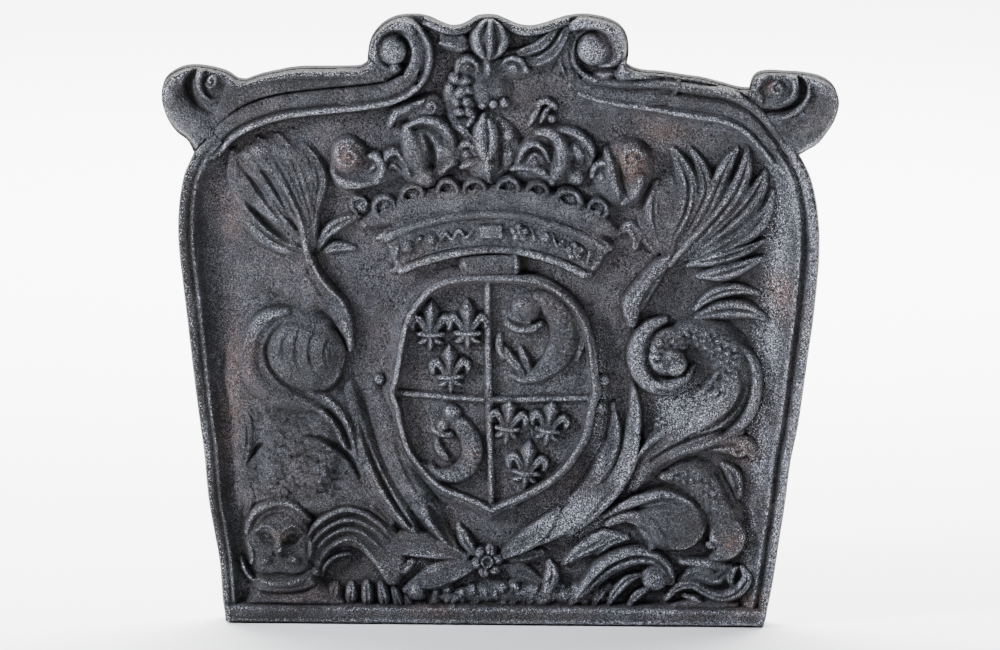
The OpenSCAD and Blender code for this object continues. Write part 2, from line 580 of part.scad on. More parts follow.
// ---- left dolphin ----
module plume_left() color("gray") planted(plume_rise) plume_left_shape();
module plume_left_shape() {
  stroke([[308, 254, 8, 0.7], [286, 240, 20, 0.9], [265, 226, 20, 0.8], [249, 214, 7, 0.4]]);
  stroke([[311, 250, 7, 0.7], [290, 222, 20, 0.95], [266, 190, 36, 1], [248, 164, 24, 0.8],
    [240, 150, 6, 0.4]]);
  stroke([[313, 246, 6, 0.6], [301, 212, 13, 0.9], [285, 178, 15, 1], [272, 154, 13, 0.8],
    [262, 141, 5, 0.4]]);
  stroke([[315, 244, 6, 0.6], [310, 214, 10, 0.9], [299, 180, 14, 0.9], [287, 152, 12, 0.8],
    [281, 138, 5, 0.4]]);
  stroke([[317, 240, 5, 0.6], [317, 208, 10, 0.8], [319, 180, 17, 0.8], [311, 156, 12, 0.6],
    [305, 146, 4, 0.4]]);
  stroke([[320, 244, 5, 0.5], [330, 230, 11, 0.7], [344, 222, 11, 0.6], [358, 216, 4, 0.4]]);
  stroke([[322, 250, 5, 0.4], [336, 246, 11, 0.6], [352, 246, 5, 0.4]]);
}
module tail_left() color("gray") planted(tail_rise) fitted() {
  tail_left_shape();
  plume_left_shape();
  coil_left_shape();
}
module tail_left_shape() {
  stroke([[304, 254, 10, 0.8], [314, 268, 22, 0.95], [330, 284, 28, 1], [342, 303, 26, 0.9],
    [350, 328, 12, 0.6], [354, 350, 4, 0.3]]);
  stroke([[296, 258, 10, 0.5], [297, 275, 30, 0.6], [302, 296, 34, 0.5]], 2);
}
module coil_left() color("gray") planted(coil_rise) coil_left_shape();
module coil_left_shape() {
  knob(304, 350, 74, 1, 0.93, -10);
  stroke([[322, 320, 8, 0.7], [300, 314, 14, 0.85], [275, 319, 20, 0.9], [258, 334, 24, 0.85],
    [250, 356, 26, 0.85], [254, 380, 24, 0.8]], 3);
}
module body_left() color("gray") planted(body_rise) fitted() {
  body_left_shape();
  coil_left_shape();
}
module body_left_shape() {
  stroke([[268, 388, 40, 0.8], [284, 412, 76, 0.95], [296, 440, 96, 1], [300, 468, 98, 0.95],
    [296, 492, 80, 0.8]], 3);
  stroke([[300, 388, 14, 0.7], [322, 397, 18, 0.8], [341, 418, 18, 0.8], [350, 442, 12, 0.6]]);
}
module fin_left() color("gray") planted(fin_rise) fitted() {
  fin_left_shape();
  body_left_shape();
  ribbons_left_shape();
  scrolls_left_shape();
  coil_left_shape();
}
module fin_left_shape() {
  stroke([[246, 400, 6, 0.5], [252, 420, 16, 0.8], [252, 446, 16, 0.9], [246, 470, 8, 0.5]]);
  stroke([[244, 478, 6, 0.5], [254, 494, 14, 0.8], [250, 512, 7, 0.5]]);
  stroke([[340, 470, 8, 0.6], [352, 486, 22, 0.9], [372, 502, 20, 0.9], [388, 520, 10, 0.6]]);
}
module head_left() color("gray") planted(head_rise) fitted() {
  head_left_shape();
  body_left_shape();
  rail_left_shape();
  foot_strip();
}
module head_left_shape() {
  knob(281, 523, 58, 0.95, 0.86);
  stroke([[281, 528, 26, 0.9], [279, 548, 34, 1], [277, 566, 36, 0.95], [277, 580, 24, 0.7]]);
  stroke([[254, 588, 6, 0.4], [270, 587, 12, 0.65], [295, 586, 13, 0.7], [316, 589, 6, 0.4]]);
  stroke([[252, 599, 6, 0.35], [272, 599, 12, 0.55], [300, 599, 12, 0.55], [322, 600, 5, 0.35]]);
  knob(308, 571, 17, 0.55);
  stroke([[248, 558, 5, 0.4], [248, 570, 10, 0.5], [254, 582, 5, 0.4]]);
}

// ---- right dolphin ----
module plume_right() color("gray") planted(plume_rise) plume_right_shape();
module plume_right_shape() {
  stroke([[668, 256, 6, 0.7], [674, 232, 13, 0.9], [684, 208, 16, 0.95], [684, 180, 17, 0.9], [672, 152, 6, 0.5]]);
  stroke([[664, 252, 5, 0.6], [658, 232, 13, 0.8], [654, 208, 16, 0.9], [656, 184, 7, 0.5]]);
  stroke([[654, 250, 5, 0.5], [646, 232, 12, 0.7], [644, 212, 7, 0.5]]);
  stroke([[674, 250, 6, 0.6], [694, 216, 12, 0.9], [704, 190, 15, 0.9], [698, 164, 9, 0.6], [690, 150, 4, 0.4]]);
  stroke([[678, 252, 6, 0.6], [702, 216, 14, 0.95], [716, 184, 14, 1], [728, 160, 10, 0.8], [736, 150, 5, 0.5]]);
  stroke([[680, 254, 6, 0.6], [706, 226, 15, 1], [730, 198, 18, 1], [742, 172, 13, 0.9], [746, 150, 5, 0.5]]);
  stroke([[684, 256, 6, 0.6], [716, 232, 16, 0.9], [742, 208, 20, 0.95], [757, 186, 13, 0.9], [762, 172, 5, 0.5]]);
  stroke([[690, 258, 6, 0.6], [722, 246, 15, 0.85], [750, 229, 15, 0.85], [766, 206, 8, 0.6], [771, 190, 4, 0.4]]);
}
module fin_right() color("gray") planted(fin_rise) fitted() {
  fin_right_shape();
  plume_right_shape();
  body_right_shape();
  head_right_shape();
}
module fin_right_shape() {
  stroke([[686, 262, 6, 0.6], [714, 258, 15, 0.9], [742, 250, 13, 0.85], [762, 240, 5, 0.4]]);
  stroke([[700, 274, 6, 0.6], [722, 272, 17, 0.95], [746, 264, 11, 0.8], [760, 256, 4, 0.4]]);
  stroke([[696, 306, 6, 0.5], [712, 294, 11, 0.8], [734, 289, 11, 0.8], [754, 292, 5, 0.4]]);
  stroke([[698, 314, 8, 0.6], [720, 309, 19, 1], [744, 310, 18, 0.9], [762, 317, 6, 0.5]]);
  stroke([[712, 444, 8, 0.5], [732, 444, 20, 0.8], [748, 450, 10, 0.6]]);
  stroke([[722, 462, 6, 0.5], [735, 478, 15, 0.8], [738, 496, 7, 0.5]]);
}
module tail_right() color("gray") planted(tail_rise) fitted() {
  tail_right_shape();
  plume_right_shape();
  coil_right_shape();
}
module tail_right_shape()
  stroke([[672, 250, 8, 0.7], [656, 269, 18, 0.9], [640, 290, 24, 1], [631, 306, 22, 0.95], [632, 320, 10, 0.6]]);
module coil_right() color("gray") planted(coil_rise) fitted() {
  coil_right_shape();
  body_right_shape();
}
module coil_right_shape() {
  stroke([[650, 322, 10, 0.6], [639, 340, 19, 0.85], [637, 362, 22, 0.9], [650, 381, 22, 0.9],
    [671, 385, 20, 0.9], [687, 374, 14, 0.8], [690, 360, 6, 0.5]], 3);
  knob(668, 356, 42, 1);
}
module body_right() color("gray") planted(body_rise) body_right_shape();
module body_right_shape() {
  stroke([[672, 334, 18, 0.8], [700, 336, 38, 0.95], [724, 352, 46, 1], [731, 378, 44, 1],
    [714, 404, 54, 1], [684, 426, 62, 0.95], [656, 446, 48, 0.8], [636, 466, 26, 0.6]], 3);
  stroke([[742, 424, 12, 0.5], [712, 437, 18, 0.7], [680, 449, 16, 0.7], [652, 468, 12, 0.5]]);
}
module head_right() color("gray") planted(head_rise) fitted() {
  head_right_shape();
  body_right_shape();
  rail_right_shape();
}
module head_right_shape() {
  knob(668, 520, 64, 0.95, 0.95);
  stroke([[668, 476, 14, 0.6], [692, 478, 40, 0.8], [712, 498, 44, 0.85], [724, 524, 40, 0.95],
    [728, 546, 32, 0.9], [716, 558, 14, 0.6]], 2);
  stroke([[604, 514, 6, 0.4], [622, 506, 14, 0.6], [642, 501, 15, 0.7]]);
  stroke([[618, 540, 10, 0.5], [628, 525, 26, 0.6], [642, 540, 16, 0.6]]);
  stroke([[680, 560, 8, 0.4], [702, 560, 14, 0.6], [722, 562, 10, 0.5]]);
}

// ---- ribbons, scrolls and leaves ----
module ribbons_left() color("gray") planted(ribbon_rise) fitted() {
  ribbons_left_shape();
  body_left_shape();
}
module ribbons_left_shape() {
  stroke([[352, 400, 6, 0.5], [358, 428, 15, 0.8], [365, 458, 22, 0.9], [380, 488, 26, 1],
    [400, 514, 22, 0.9], [417, 532, 8, 0.5]], 3);
  stroke([[374, 398, 6, 0.4], [381, 430, 20, 0.7], [389, 464, 28, 0.8], [408, 496, 30, 0.9],
    [428, 523, 20, 0.8], [448, 546, 12, 0.7], [466, 557, 5, 0.5]], 3);
}
module ribbons_right() color("gray") planted(ribbon_rise) fitted() {
  ribbons_right_shape();
  body_right_shape();
}
module ribbons_right_shape() {
  stroke([[634, 400, 5, 0.4], [633, 430, 16, 0.9], [627, 458, 20, 1], [611, 486, 19, 0.95],
    [588, 512, 14, 0.8], [566, 532, 7, 0.6]], 3);
  stroke([[600, 488, 5, 0.5], [587, 502, 15, 0.95], [566, 519, 19, 1], [546, 533, 14, 0.8], [534, 542, 5, 0.5]], 3);
  stroke([[552, 514, 5, 0.5], [542, 527, 14, 0.9], [526, 540, 18, 1], [508, 550, 12, 0.8]], 3);
  stroke([[608, 410, 5, 0.4], [608, 440, 12, 0.5], [594, 468, 14, 0.5], [574, 492, 8, 0.4]], 2);
}
// Three arches, one inside the next, beside the left head
module scrolls_left() color("gray") planted(scroll_rise) fitted() {
  scrolls_left_shape();
  ribbons_left_shape();
  body_left_shape();
  head_left_shape();
}
module scrolls_left_shape() {
  stroke([[312, 548, 6, 0.6], [321, 524, 12, 0.9], [343, 511, 15, 1], [370, 519, 15, 1], [388, 540, 12, 0.8]], 3);
  stroke([[318, 556, 6, 0.5], [330, 538, 10, 0.8], [350, 530, 12, 0.9], [370, 538, 12, 0.9], [386, 558, 10, 0.7]], 3);
  stroke([[320, 568, 6, 0.5], [330, 553, 9, 0.7], [350, 547, 10, 0.8], [370, 556, 11, 0.8],
    [384, 570, 11, 0.7], [398, 580, 6, 0.5]], 3);
  stroke([[386, 558, 5, 0.4], [400, 568, 14, 0.6], [410, 560, 8, 0.5]]);
}
module acanthus_right() color("gray") planted(acanthus_rise) fitted() {
  acanthus_right_shape();
  ribbons_right_shape();
  head_right_shape();
  foot_strip();
}
module acanthus_right_shape() {
  stroke([[572, 603, 6, 0.5], [587, 584, 14, 0.8], [605, 566, 18, 0.95], [626, 557, 16, 1], [648, 557, 14, 0.95],
    [664, 566, 14, 0.9], [668, 580, 10, 0.8]], 3);
  knob(654, 577, 26, 0.95);
  stroke([[612, 602, 5, 0.4], [618, 590, 9, 0.6], [628, 578, 9, 0.6], [642, 572, 5, 0.4]]);
  stroke([[630, 604, 5, 0.4], [638, 594, 9, 0.6], [646, 588, 5, 0.4]]);
  stroke([[566, 560, 5, 0.3], [582, 548, 16, 0.5], [602, 538, 18, 0.5]]);
}
module rosette() color("gray") planted(rosette_rise) rosette_shape();
module rosette_shape() {
  for (a = [0:60:300]) translate(concat(at(487, 560.5), [0])) rotate([0, 0, a + 12])
    translate([rosette_diameter * 0.3, 0, 0]) scale([1, 0.9, 0.8]) rotate_extrude($fn = 14)
      polygon([[0, 0], [rosette_diameter * 0.2, 0], [rosette_diameter * 0.16, full * 0.7], [0, full]]);
  translate(at(487, 560.5)) cylinder(d = rosette_diameter * 0.62, h = full * 0.55, $fn = 20);
  curl(487, 560.5, rosette_diameter * 0.42, 4.5, 1);
}
module stems() color("gray") planted(stem_rise) fitted() {
  stems_shape();
  ribbons_left_shape();
  scrolls_left_shape();
  rosette_shape();
  acanthus_right_shape();
  ribbons_right_shape();
  foot_strip();
}
module stems_shape() {
  stroke([[471, 566, 8, 0.7], [450, 570, 17, 0.95], [428, 578, 14, 0.8], [410, 582, 8, 0.6]]);
  knob(417, 591, 21, 1);
  stroke([[458, 558, 6, 0.6], [434, 552, 14, 0.8], [406, 548, 15, 0.8], [382, 552, 7, 0.5]]);
  stroke([[410, 536, 5, 0.5], [426, 541, 10, 0.7], [450, 548, 8, 0.7], [466, 552, 5, 0.6]]);
  stroke([[462, 528, 6, 0.5], [466, 540, 13, 0.8], [473, 549, 8, 0.6]]);
  stroke([[542, 596, 5, 0.5], [548, 582, 13, 0.95], [552, 568, 14, 0.9], [550, 558, 7, 0.6]]);
  stroke([[504, 566, 8, 0.5], [520, 570, 16, 0.6], [536, 578, 8, 0.4]]);
  stroke([[476, 582, 10, 0.4], [490, 590, 22, 0.5], [512, 592, 14, 0.4]]);
}
module petals_left() color("gray") planted(petal_rise) fitted() {
  petals_left_shape();
  stems_shape();
  scrolls_left_shape();
  head_left_shape();
  foot_strip();
}
module petals_left_shape() {
  for (p = [[332, 594, 18, 12], [352, 592, 14, 4], [366, 593, 15, -4], [381, 594, 15, -10],
      [395, 597, 14, -18], [407, 600, 12, -30]])
    knob(p[0], p[1], p[2], 0.95, 1.6, p[3]);
  stroke([[326, 572, 6, 0.4], [340, 576, 12, 0.6], [356, 574, 6, 0.4]]);
}
module waves_right() color("gray") planted(petal_rise) fitted() {
  waves_right_shape();
  acanthus_right_shape();
  head_right_shape();
  rail_right_shape();
  foot_strip();
}
module waves_right_shape() {
  stroke([[668, 596, 6, 0.5], [684, 586, 12, 0.9], [702, 590, 12, 0.9], [722, 594, 11, 0.8],
    [740, 588, 14, 0.95], [745, 576, 11, 0.9], [741, 568, 5, 0.6]], 3);
  stroke([[682, 578, 6, 0.5], [698, 572, 16, 0.8], [716, 576, 14, 0.8], [728, 566, 7, 0.5]]);
  stroke([[676, 604, 6, 0.5], [700, 603, 9, 0.7], [722, 602, 6, 0.5]]);
}

plate();
foot_band();
rail_left();
rail_right();
moulding_left();
moulding_right();
top_band_left();
top_band_right();
ear_left();
ear_right();
ear_eye_left();
ear_eye_right();
volute_left();
volute_right();
volute_eye_left();
volute_eye_right();
crest_edge();
crest_bud();
crest_leaves();
crown_finial();
crown_pearls();
fleuron_middle();
fleuron_left();
fleuron_right();
crown_knob_left();
crown_knob_right();
crown_arches();
circlet();
circlet_beads();
circlet_jewels();
shield_field();
shield_rim();
shield_bars();
shield_clasp();
lilies_upper();
lilies_lower();
small_dolphin_upper();
small_dolphin_lower();
plume_left();
tail_left();
coil_left();
body_left();
head_left();
fin_left();
plume_right();
tail_right();
coil_right();
body_right();
head_right();
fin_right();
ribbons_left();
ribbons_right();
scrolls_left();
acanthus_right();
rosette();
stems();
petals_left();
waves_right();
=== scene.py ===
import math

import bmesh
import bpy
import numpy as np
from mathutils import Matrix, Vector


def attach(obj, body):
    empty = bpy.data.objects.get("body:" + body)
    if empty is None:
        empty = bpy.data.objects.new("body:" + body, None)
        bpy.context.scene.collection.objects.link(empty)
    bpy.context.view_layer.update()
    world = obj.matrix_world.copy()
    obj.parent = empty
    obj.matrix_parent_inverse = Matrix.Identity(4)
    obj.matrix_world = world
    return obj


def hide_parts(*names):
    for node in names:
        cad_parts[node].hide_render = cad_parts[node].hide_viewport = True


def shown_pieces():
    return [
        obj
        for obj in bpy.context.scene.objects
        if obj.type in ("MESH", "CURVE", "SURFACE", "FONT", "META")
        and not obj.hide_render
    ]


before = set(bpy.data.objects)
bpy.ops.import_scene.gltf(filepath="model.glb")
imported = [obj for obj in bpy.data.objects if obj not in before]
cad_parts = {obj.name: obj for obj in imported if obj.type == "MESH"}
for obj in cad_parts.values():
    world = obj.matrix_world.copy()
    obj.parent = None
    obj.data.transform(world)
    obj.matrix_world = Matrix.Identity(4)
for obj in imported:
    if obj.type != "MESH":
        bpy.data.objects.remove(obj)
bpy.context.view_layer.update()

# ---- The plate ----
# One slab of grey iron run into an open sand bed, 20 mm thick: the ground that
# every carved member stands up from, with a ragged rolled edge and a rough back.
GROUND = 10.0        # the ground lies this far in front of the plate's middle, mm
THICK = 20.0
MIDDLE, FOOT = 495.5, 621.2      # the drawing's middle and its foot line
PIVOT, LEAN = 624.0, 0.0088      # it hangs half a degree out of true, turned about this height
LIFTED = 0.176       # seen from 10 degrees above, a point shows higher by this share of its rise
FLATTENED = 0.985    # and every height shows shorter


def sheet(x, y, rise=0.0):
    """Millimetres across and up, from a point of the carver's drawing (x across, y down)."""
    y = y - LIFTED * rise
    return (x - MIDDLE) - LEAN * (PIVOT - y), (FOOT - y) / FLATTENED + LEAN * (x - MIDDLE)


def flow(points, step=2.0):
    """A smooth way through drawn points (x, y, width, rise), one station every step mm."""
    p = np.array([[*sheet(q[0], q[1], q[3] if len(q) > 3 else 0), *q[2:]] for q in points], float)
    out = []
    for i in range(len(p) - 1):
        a, b, c, d = p[max(i - 1, 0)], p[i], p[i + 1], p[min(i + 2, len(p) - 1)]
        n = max(1, int(round(math.dist(b[:2], c[:2]) / step)))
        for k in range(n):
            t = k / n
            out.append(0.5 * (2 * b + (c - a) * t + (2 * a - 5 * b + 4 * c - d) * t * t
                + (3 * b - a - 3 * c + d) * t ** 3))
    return np.array(out + [p[-1]])


GRID = 1.0
gx = np.arange(-344.0, 345.0, GRID)
gz = np.arange(-8.0, 624.0, GRID)
face = np.zeros((len(gz), len(gx)))      # mm above the ground, grown member by member
ACROSS, UP = gx[None, :], gz[:, None]


def window(x0, x1, z0, z1):
    j0, j1 = np.searchsorted(gx, [x0, x1])
    i0, i1 = np.searchsorted(gz, [z0, z1])
    return i0, i1, j0, j1


def lay(way, reach):
    """Around a way: distance, signed offset, share along, run in mm, width and rise there."""
    wide = way[:, 2].max() / 2 + reach
    i0, i1, j0, j1 = window(way[:, 0].min() - wide, way[:, 0].max() + wide, way[:, 1].min() - wide,
        way[:, 1].max() + wide)
    got = np.zeros((6, i1 - i0, j1 - j0))
    got[0] = 1e9
    runs = np.concatenate([[0], np.cumsum(np.hypot(*np.diff(way[:, :2], axis=0).T))])
    for k in range(len(way) - 1):
        a, b = way[k], way[k + 1]
        r = max(a[2], b[2]) / 2 + reach
        m0, m1, n0, n1 = window(min(a[0], b[0]) - r, max(a[0], b[0]) + r, min(a[1], b[1]) - r,
            max(a[1], b[1]) + r)
        if m1 <= m0 or n1 <= n0:
            continue
        px, pz = gx[None, n0:n1] - a[0], gz[m0:m1, None] - a[1]
        dx, dz = b[0] - a[0], b[1] - a[1]
        t = np.clip((px * dx + pz * dz) / max(dx * dx + dz * dz, 1e-9), 0, 1)
        ex, ez = px - t * dx, pz - t * dz
        d = np.hypot(ex, ez)
        part = got[:, m0 - i0:m1 - i0, n0 - j0:n1 - j0]
        near = d < part[0]
        run = runs[k] + t * (runs[k + 1] - runs[k])
        new = np.array([d, np.where(dx * ez - dz * ex > 0, -d, d), run / max(runs[-1], 1e-6), run,
            a[2] + t * (b[2] - a[2]), a[3] + t * (b[3] - a[3])])
        part[:, near] = new[:, near]
    return (slice(i0, i1), slice(j0, j1)), got


def joined(a, b, k):
    """The higher of two surfaces, with a fillet about k mm wide where they meet."""
    h = np.clip(0.5 + 0.5 * (b - a) / k, 0, 1)
    return a + (b - a) * h + k * h * (1 - h)


def soften(relief, wide):
    """Rounds a relief as foundry sand does: a blur about wide mm across."""
    r = int(3 * wide / GRID) + 1
    w = np.exp(-0.5 * (np.arange(-r, r + 1) * GRID / wide) ** 2)
    w /= w.sum()
    for axis in (0, 1):
        pad = [(r, r) if n == axis else (0, 0) for n in (0, 1)]
        big = np.pad(relief, pad, mode="edge")
        n = relief.shape[axis]
        relief = sum(w[k] * (big[k:k + n] if axis == 0 else big[:, k:k + n]) for k in range(2 * r + 1))
    return relief


def cloud(cell, seed):
    """Smooth random lumps between -1 and 1, one every cell mm."""
    rng = np.random.default_rng(seed)
    nz, nx = int(len(gz) * GRID / cell) + 3, int(len(gx) * GRID / cell) + 3
    g = rng.uniform(-1, 1, (nz, nx))
    v, u = (gz - gz[0]) / cell, (gx - gx[0]) / cell
    i, j = v.astype(int), u.astype(int)
    fv, fu = v - i, u - j
    fv, fu = (fv * fv * (3 - 2 * fv))[:, None], (fu * fu * (3 - 2 * fu))[None, :]

    def corner(a, b):
        return g[np.ix_(i + a, j + b)]

    left, right = (corner(0, k) * (1 - fv) + corner(1, k) * fv for k in (0, 1))
    return left * (1 - fu) + right * fu


skin_broad = 0.55 * cloud(34, 3) + 0.4 * cloud(15, 4)
skin = skin_broad + 0.24 * cloud(7, 5) + 0.16 * cloud(3.6, 6) + 0.10 * cloud(2.1, 7)

EDGE = [[(226, 621.2), (222, 600), (219, 560), (213, 525), (208, 495), (204, 450), (200, 420), (195, 380),
    (190, 335), (185, 290), (180.5, 250), (179.5, 225), (181, 200), (185, 178), (190, 165), (196, 152)],
    [(196, 152), (190, 140), (180, 132), (172, 122), (166, 108), (164, 94), (167, 81), (175, 73), (187, 67.5),
        (200, 66.5), (215, 68.5), (230, 73), (240, 79.5), (248, 80.5)],
    [(248, 80.5), (262, 75.5), (280, 71.5), (300, 68.3), (330, 68), (350, 67.7), (362, 67), (368, 63)],
    [(368, 63), (368.8, 52), (371, 42), (376, 33), (384, 25), (395, 19), (405, 17), (418, 16.5), (430, 19),
        (441, 24), (451, 27.5), (460, 27), (468, 23.5), (476, 18.5), (485, 17), (496, 17.5), (507, 22),
        (518, 26.5), (530, 28), (543, 25.5), (555, 21.5), (567, 18), (583, 16.5), (595, 18), (606, 20.5),
        (617, 26), (624, 34), (627, 44), (627, 55), (625, 65)],
    [(625, 65), (633, 69.5), (645, 72), (660, 73), (680, 76), (700, 79), (720, 84), (735, 88), (747, 89)],
    [(747, 89), (749.5, 80), (755, 74), (765, 72), (780, 72.5), (800, 74), (817, 77.5), (828, 84),
        (833.5, 92), (836, 101), (835, 110), (831, 121), (824, 132), (815, 143), (805, 149), (795.5, 154.5)],
    [(795.5, 154.5), (803, 166), (809, 180), (814, 200), (817, 225), (817.5, 250), (816, 275), (812, 315),
        (808, 345), (802, 390), (797, 425), (790, 460), (785, 500), (779, 540), (773, 580), (768, 606),
        (765, 621.2)],
    ]
FOOT_POINTS = 180
outline = np.vstack([flow([(x, y, 0, 0) for x, y in part], 3.0)[:-1, :2] for part in EDGE]
    + [np.column_stack([np.linspace(sheet(765, FOOT)[0], sheet(226, FOOT)[0], FOOT_POINTS),
        np.zeros(FOOT_POINTS)])])
outline[:, 1] = np.maximum(outline[:, 1], 0)
loop = np.vstack([outline, outline[:1]])


def within(ring, x, z):
    """Whether points lie inside a closed ring of corners."""
    hit = np.zeros(np.broadcast(x, z).shape, bool)
    for (ax, az), (bx, bz) in zip(ring[:-1], ring[1:]):
        if az != bz:
            hit ^= ((az > z) != (bz > z)) & (x < (bx - ax) * (z - az) / (bz - az) + ax)
    return hit


RIM_REACH = 16.0
where, near = lay(np.column_stack([loop, np.zeros((len(loop), 2))]), RIM_REACH)
margin = np.full(face.shape, RIM_REACH)
margin[where] = np.minimum(near[0], RIM_REACH)
margin = np.where(within(loop, ACROSS, UP), margin, -margin)     # mm in from the outline


def solid(name, points, faces):
    """A smooth mesh object from corner points in metres and four-sided faces."""
    mesh = bpy.data.meshes.new(name)
    mesh.vertices.add(len(points))
    mesh.vertices.foreach_set("co", np.asarray(points, np.float32).ravel())
    mesh.loops.add(4 * len(faces))
    mesh.loops.foreach_set("vertex_index", np.asarray(faces, np.int32).ravel())
    mesh.polygons.add(len(faces))
    mesh.polygons.foreach_set("loop_start", np.arange(0, 4 * len(faces), 4, dtype=np.int32))
    mesh.update(calc_edges=True)
    mesh.validate()
    mesh.shade_smooth()
    piece = bpy.data.objects.new(name, mesh)
    bpy.context.scene.collection.objects.link(piece)
    return piece


def shell(name, xs, zs, top, under, keep, snap=None, wall=1):
    """A closed skin over the kept grid points: a face in front, one behind and a wall round its rim."""
    cell = keep[:-1, :-1] & keep[1:, :-1] & keep[:-1, 1:] & keep[1:, 1:]
    used = np.zeros_like(keep)
    for a in (0, 1):
        for b in (0, 1):
            used[a:a + cell.shape[0], b:b + cell.shape[1]] |= cell
    number = np.cumsum(used).reshape(used.shape) - 1
    n = int(used.sum())
    gX, gZ = np.meshgrid(xs, zs)
    px, pz = gX[used], gZ[used]
    i, j = np.nonzero(cell)
    a, b, c, d = number[i, j], number[i, j + 1], number[i + 1, j + 1], number[i + 1, j]
    big = np.pad(cell, 1)
    rim = []
    for p, q, side in ((a, b, big[i, j + 1]), (b, c, big[i + 1, j + 2]), (c, d, big[i + 2, j + 1]),
            (d, a, big[i + 1, j])):
        rim.append(np.column_stack([p[~side], q[~side]]))
    rim = np.vstack(rim)
    if snap is not None:
        px, pz = snap(px, pz, np.unique(rim))
    front = np.column_stack([px / 1000, -(GROUND + top[used]) / 1000, pz / 1000])
    back = np.column_stack([px / 1000, -(GROUND + under[used]) / 1000, pz / 1000])
    points, faces = [front, back], [np.column_stack([a, b, c, d]), np.column_stack([d, c, b, a]) + n]
    ring = np.unique(rim)
    place = np.full(n, -1)
    place[ring] = np.arange(len(ring))
    last = (rim[:, 0], rim[:, 1])
    for k in range(1, wall):
        t = k / wall
        points.append(front[ring] * (1 - t) + back[ring] * t)
        base = 2 * n + (k - 1) * len(ring)
        here = (base + place[rim[:, 0]], base + place[rim[:, 1]])
        faces.append(np.column_stack([last[1], last[0], here[0], here[1]]))
        last = here
    faces.append(np.column_stack([last[1], last[0], rim[:, 0] + n, rim[:, 1] + n]))
    return solid(name, np.vstack(points), np.vstack(faces))


def to_outline(px, pz, rim):
    """Moves the slab's rim points onto the drawn outline."""
    px, pz = px.copy(), pz.copy()
    a, b = loop[:-1], loop[1:]
    ab = b - a
    for r in rim:
        p = np.array([px[r], pz[r]])
        t = np.clip(((p - a) * ab).sum(1) / np.maximum((ab ** 2).sum(1), 1e-9), 0, 1)
        q = a + ab * t[:, None]
        m = np.argmin(((q - p) ** 2).sum(1))
        px[r], pz[r] = q[m]
    return px, pz


coarse = (slice(2, None, 3), slice(None, None, 3))       # every third line of the grid
slab_in = margin[coarse]
roll = 2.2 * np.clip(1 - np.maximum(slab_in, 0) / 4.0, 0, 1) ** 2
# The back is what the open bed left: sunk in the middle, rippled by the flow, and pocked
POCKS = 110
rear = 1.5 + 0.5 * cloud(55, 21) + 0.45 * cloud(18, 8) + 0.35 * cloud(9, 22)
ripple = np.sin((UP + 0.3 * ACROSS + 16 * cloud(60, 23)) * 0.42)
rear += 0.35 * np.clip(cloud(80, 24) + 0.2, 0, 1) * ripple
rng = np.random.default_rng(31)
pocks = [rng.uniform(*span, POCKS) for span in ((-270, 270), (20, 560), (3, 8), (0.5, 2.2))]
for px, pz, wide, deep in zip(*pocks):
    rear += deep * np.exp(-((ACROSS - px) ** 2 + (UP - pz) ** 2) / wide ** 2)
rear = np.maximum(rear[coarse] + 1.0 * np.clip(slab_in / 30, 0, 1) - 0.9, 0.1)
plate = shell("plate_cast", gx[coarse[1]], gz[coarse[0]], skin_broad[coarse] - roll, -THICK + rear + roll,
    slab_in > 0.8, to_outline, 4)


def put(tree, kind, **sets):
    """Adds a node: a name with _ before it sets a property, i0 or i1 an input by number."""
    node = tree.nodes.new(kind)
    for key, value in sets.items():
        if key[0] == "_":
            setattr(node, key[1:], value)
    for key, value in sets.items():
        if key[0] == "_":
            continue
        numbered = key[0] == "i" and key[1:].isdigit()
        socket = node.inputs[int(key[1:]) if numbered else key.replace("_", " ")]
        if isinstance(value, bpy.types.NodeSocket):
            tree.links.new(value, socket)
        else:
            socket.default_value = value
    return node


def group(name, kind, ins, outs):
    """A node group with named inputs and outputs; gives the tree, its input node and its output node."""
    tree = bpy.data.node_groups.new(name, kind)
    for side, rows in (("INPUT", ins), ("OUTPUT", outs)):
        for label, sort, *default in rows:
            socket = tree.interface.new_socket(label, in_out=side, socket_type="NodeSocket" + sort)
            if default:
                socket.default_value = default[0]
    return tree, tree.nodes.new("NodeGroupInput"), tree.nodes.new("NodeGroupOutput")


def level(tree, value, low, high, to_low=0.0, to_high=1.0):
    """Brings a value from one span to another, held at both ends."""
    return put(tree, "ShaderNodeMapRange", _interpolation_type="SMOOTHSTEP", Value=value, From_Min=low,
        From_Max=high, To_Min=to_low, To_Max=to_high).outputs["Result"]


def sums(tree, how, a, b):
    return put(tree, "ShaderNodeMath", _operation=how, i0=a, i1=b).outputs[0]


def noise(tree, place, scale, detail, rough):
    """Fine or broad mottling, scale lumps to the metre."""
    return put(tree, "ShaderNodeTexNoise", Vector=place, Scale=scale, Detail=detail,
        Roughness=rough).outputs["Fac"]


# Sand grain, lumps and pits that the open mould leaves on every face
grain, gi, go = group("Foundry grain", "ShaderNodeTree", [("Vector", "Vector"), ("Lumps", "Float", 0.5),
    ("Sand", "Float", 0.4), ("Pits", "Float", 0.5)],
    [("Height", "Float"), ("Speck", "Float"), ("Pit", "Float")])
lump = noise(grain, gi.outputs["Vector"], 150.0, 3.0, 0.6)
sand = noise(grain, gi.outputs["Vector"], 560.0, 3.0, 0.75)
speck = noise(grain, gi.outputs["Vector"], 780.0, 2.0, 0.85)
cells = put(grain, "ShaderNodeTexVoronoi", Vector=gi.outputs["Vector"], Scale=230.0, Randomness=1.0)
place = noise(grain, gi.outputs["Vector"], 60.0, 2.0, 0.5)
hole = sums(grain, "MULTIPLY", level(grain, cells.outputs["Distance"], 0.34, 0.12),
    level(grain, place, 0.46, 0.66))
high = sums(grain, "MULTIPLY", lump, gi.outputs["Lumps"])
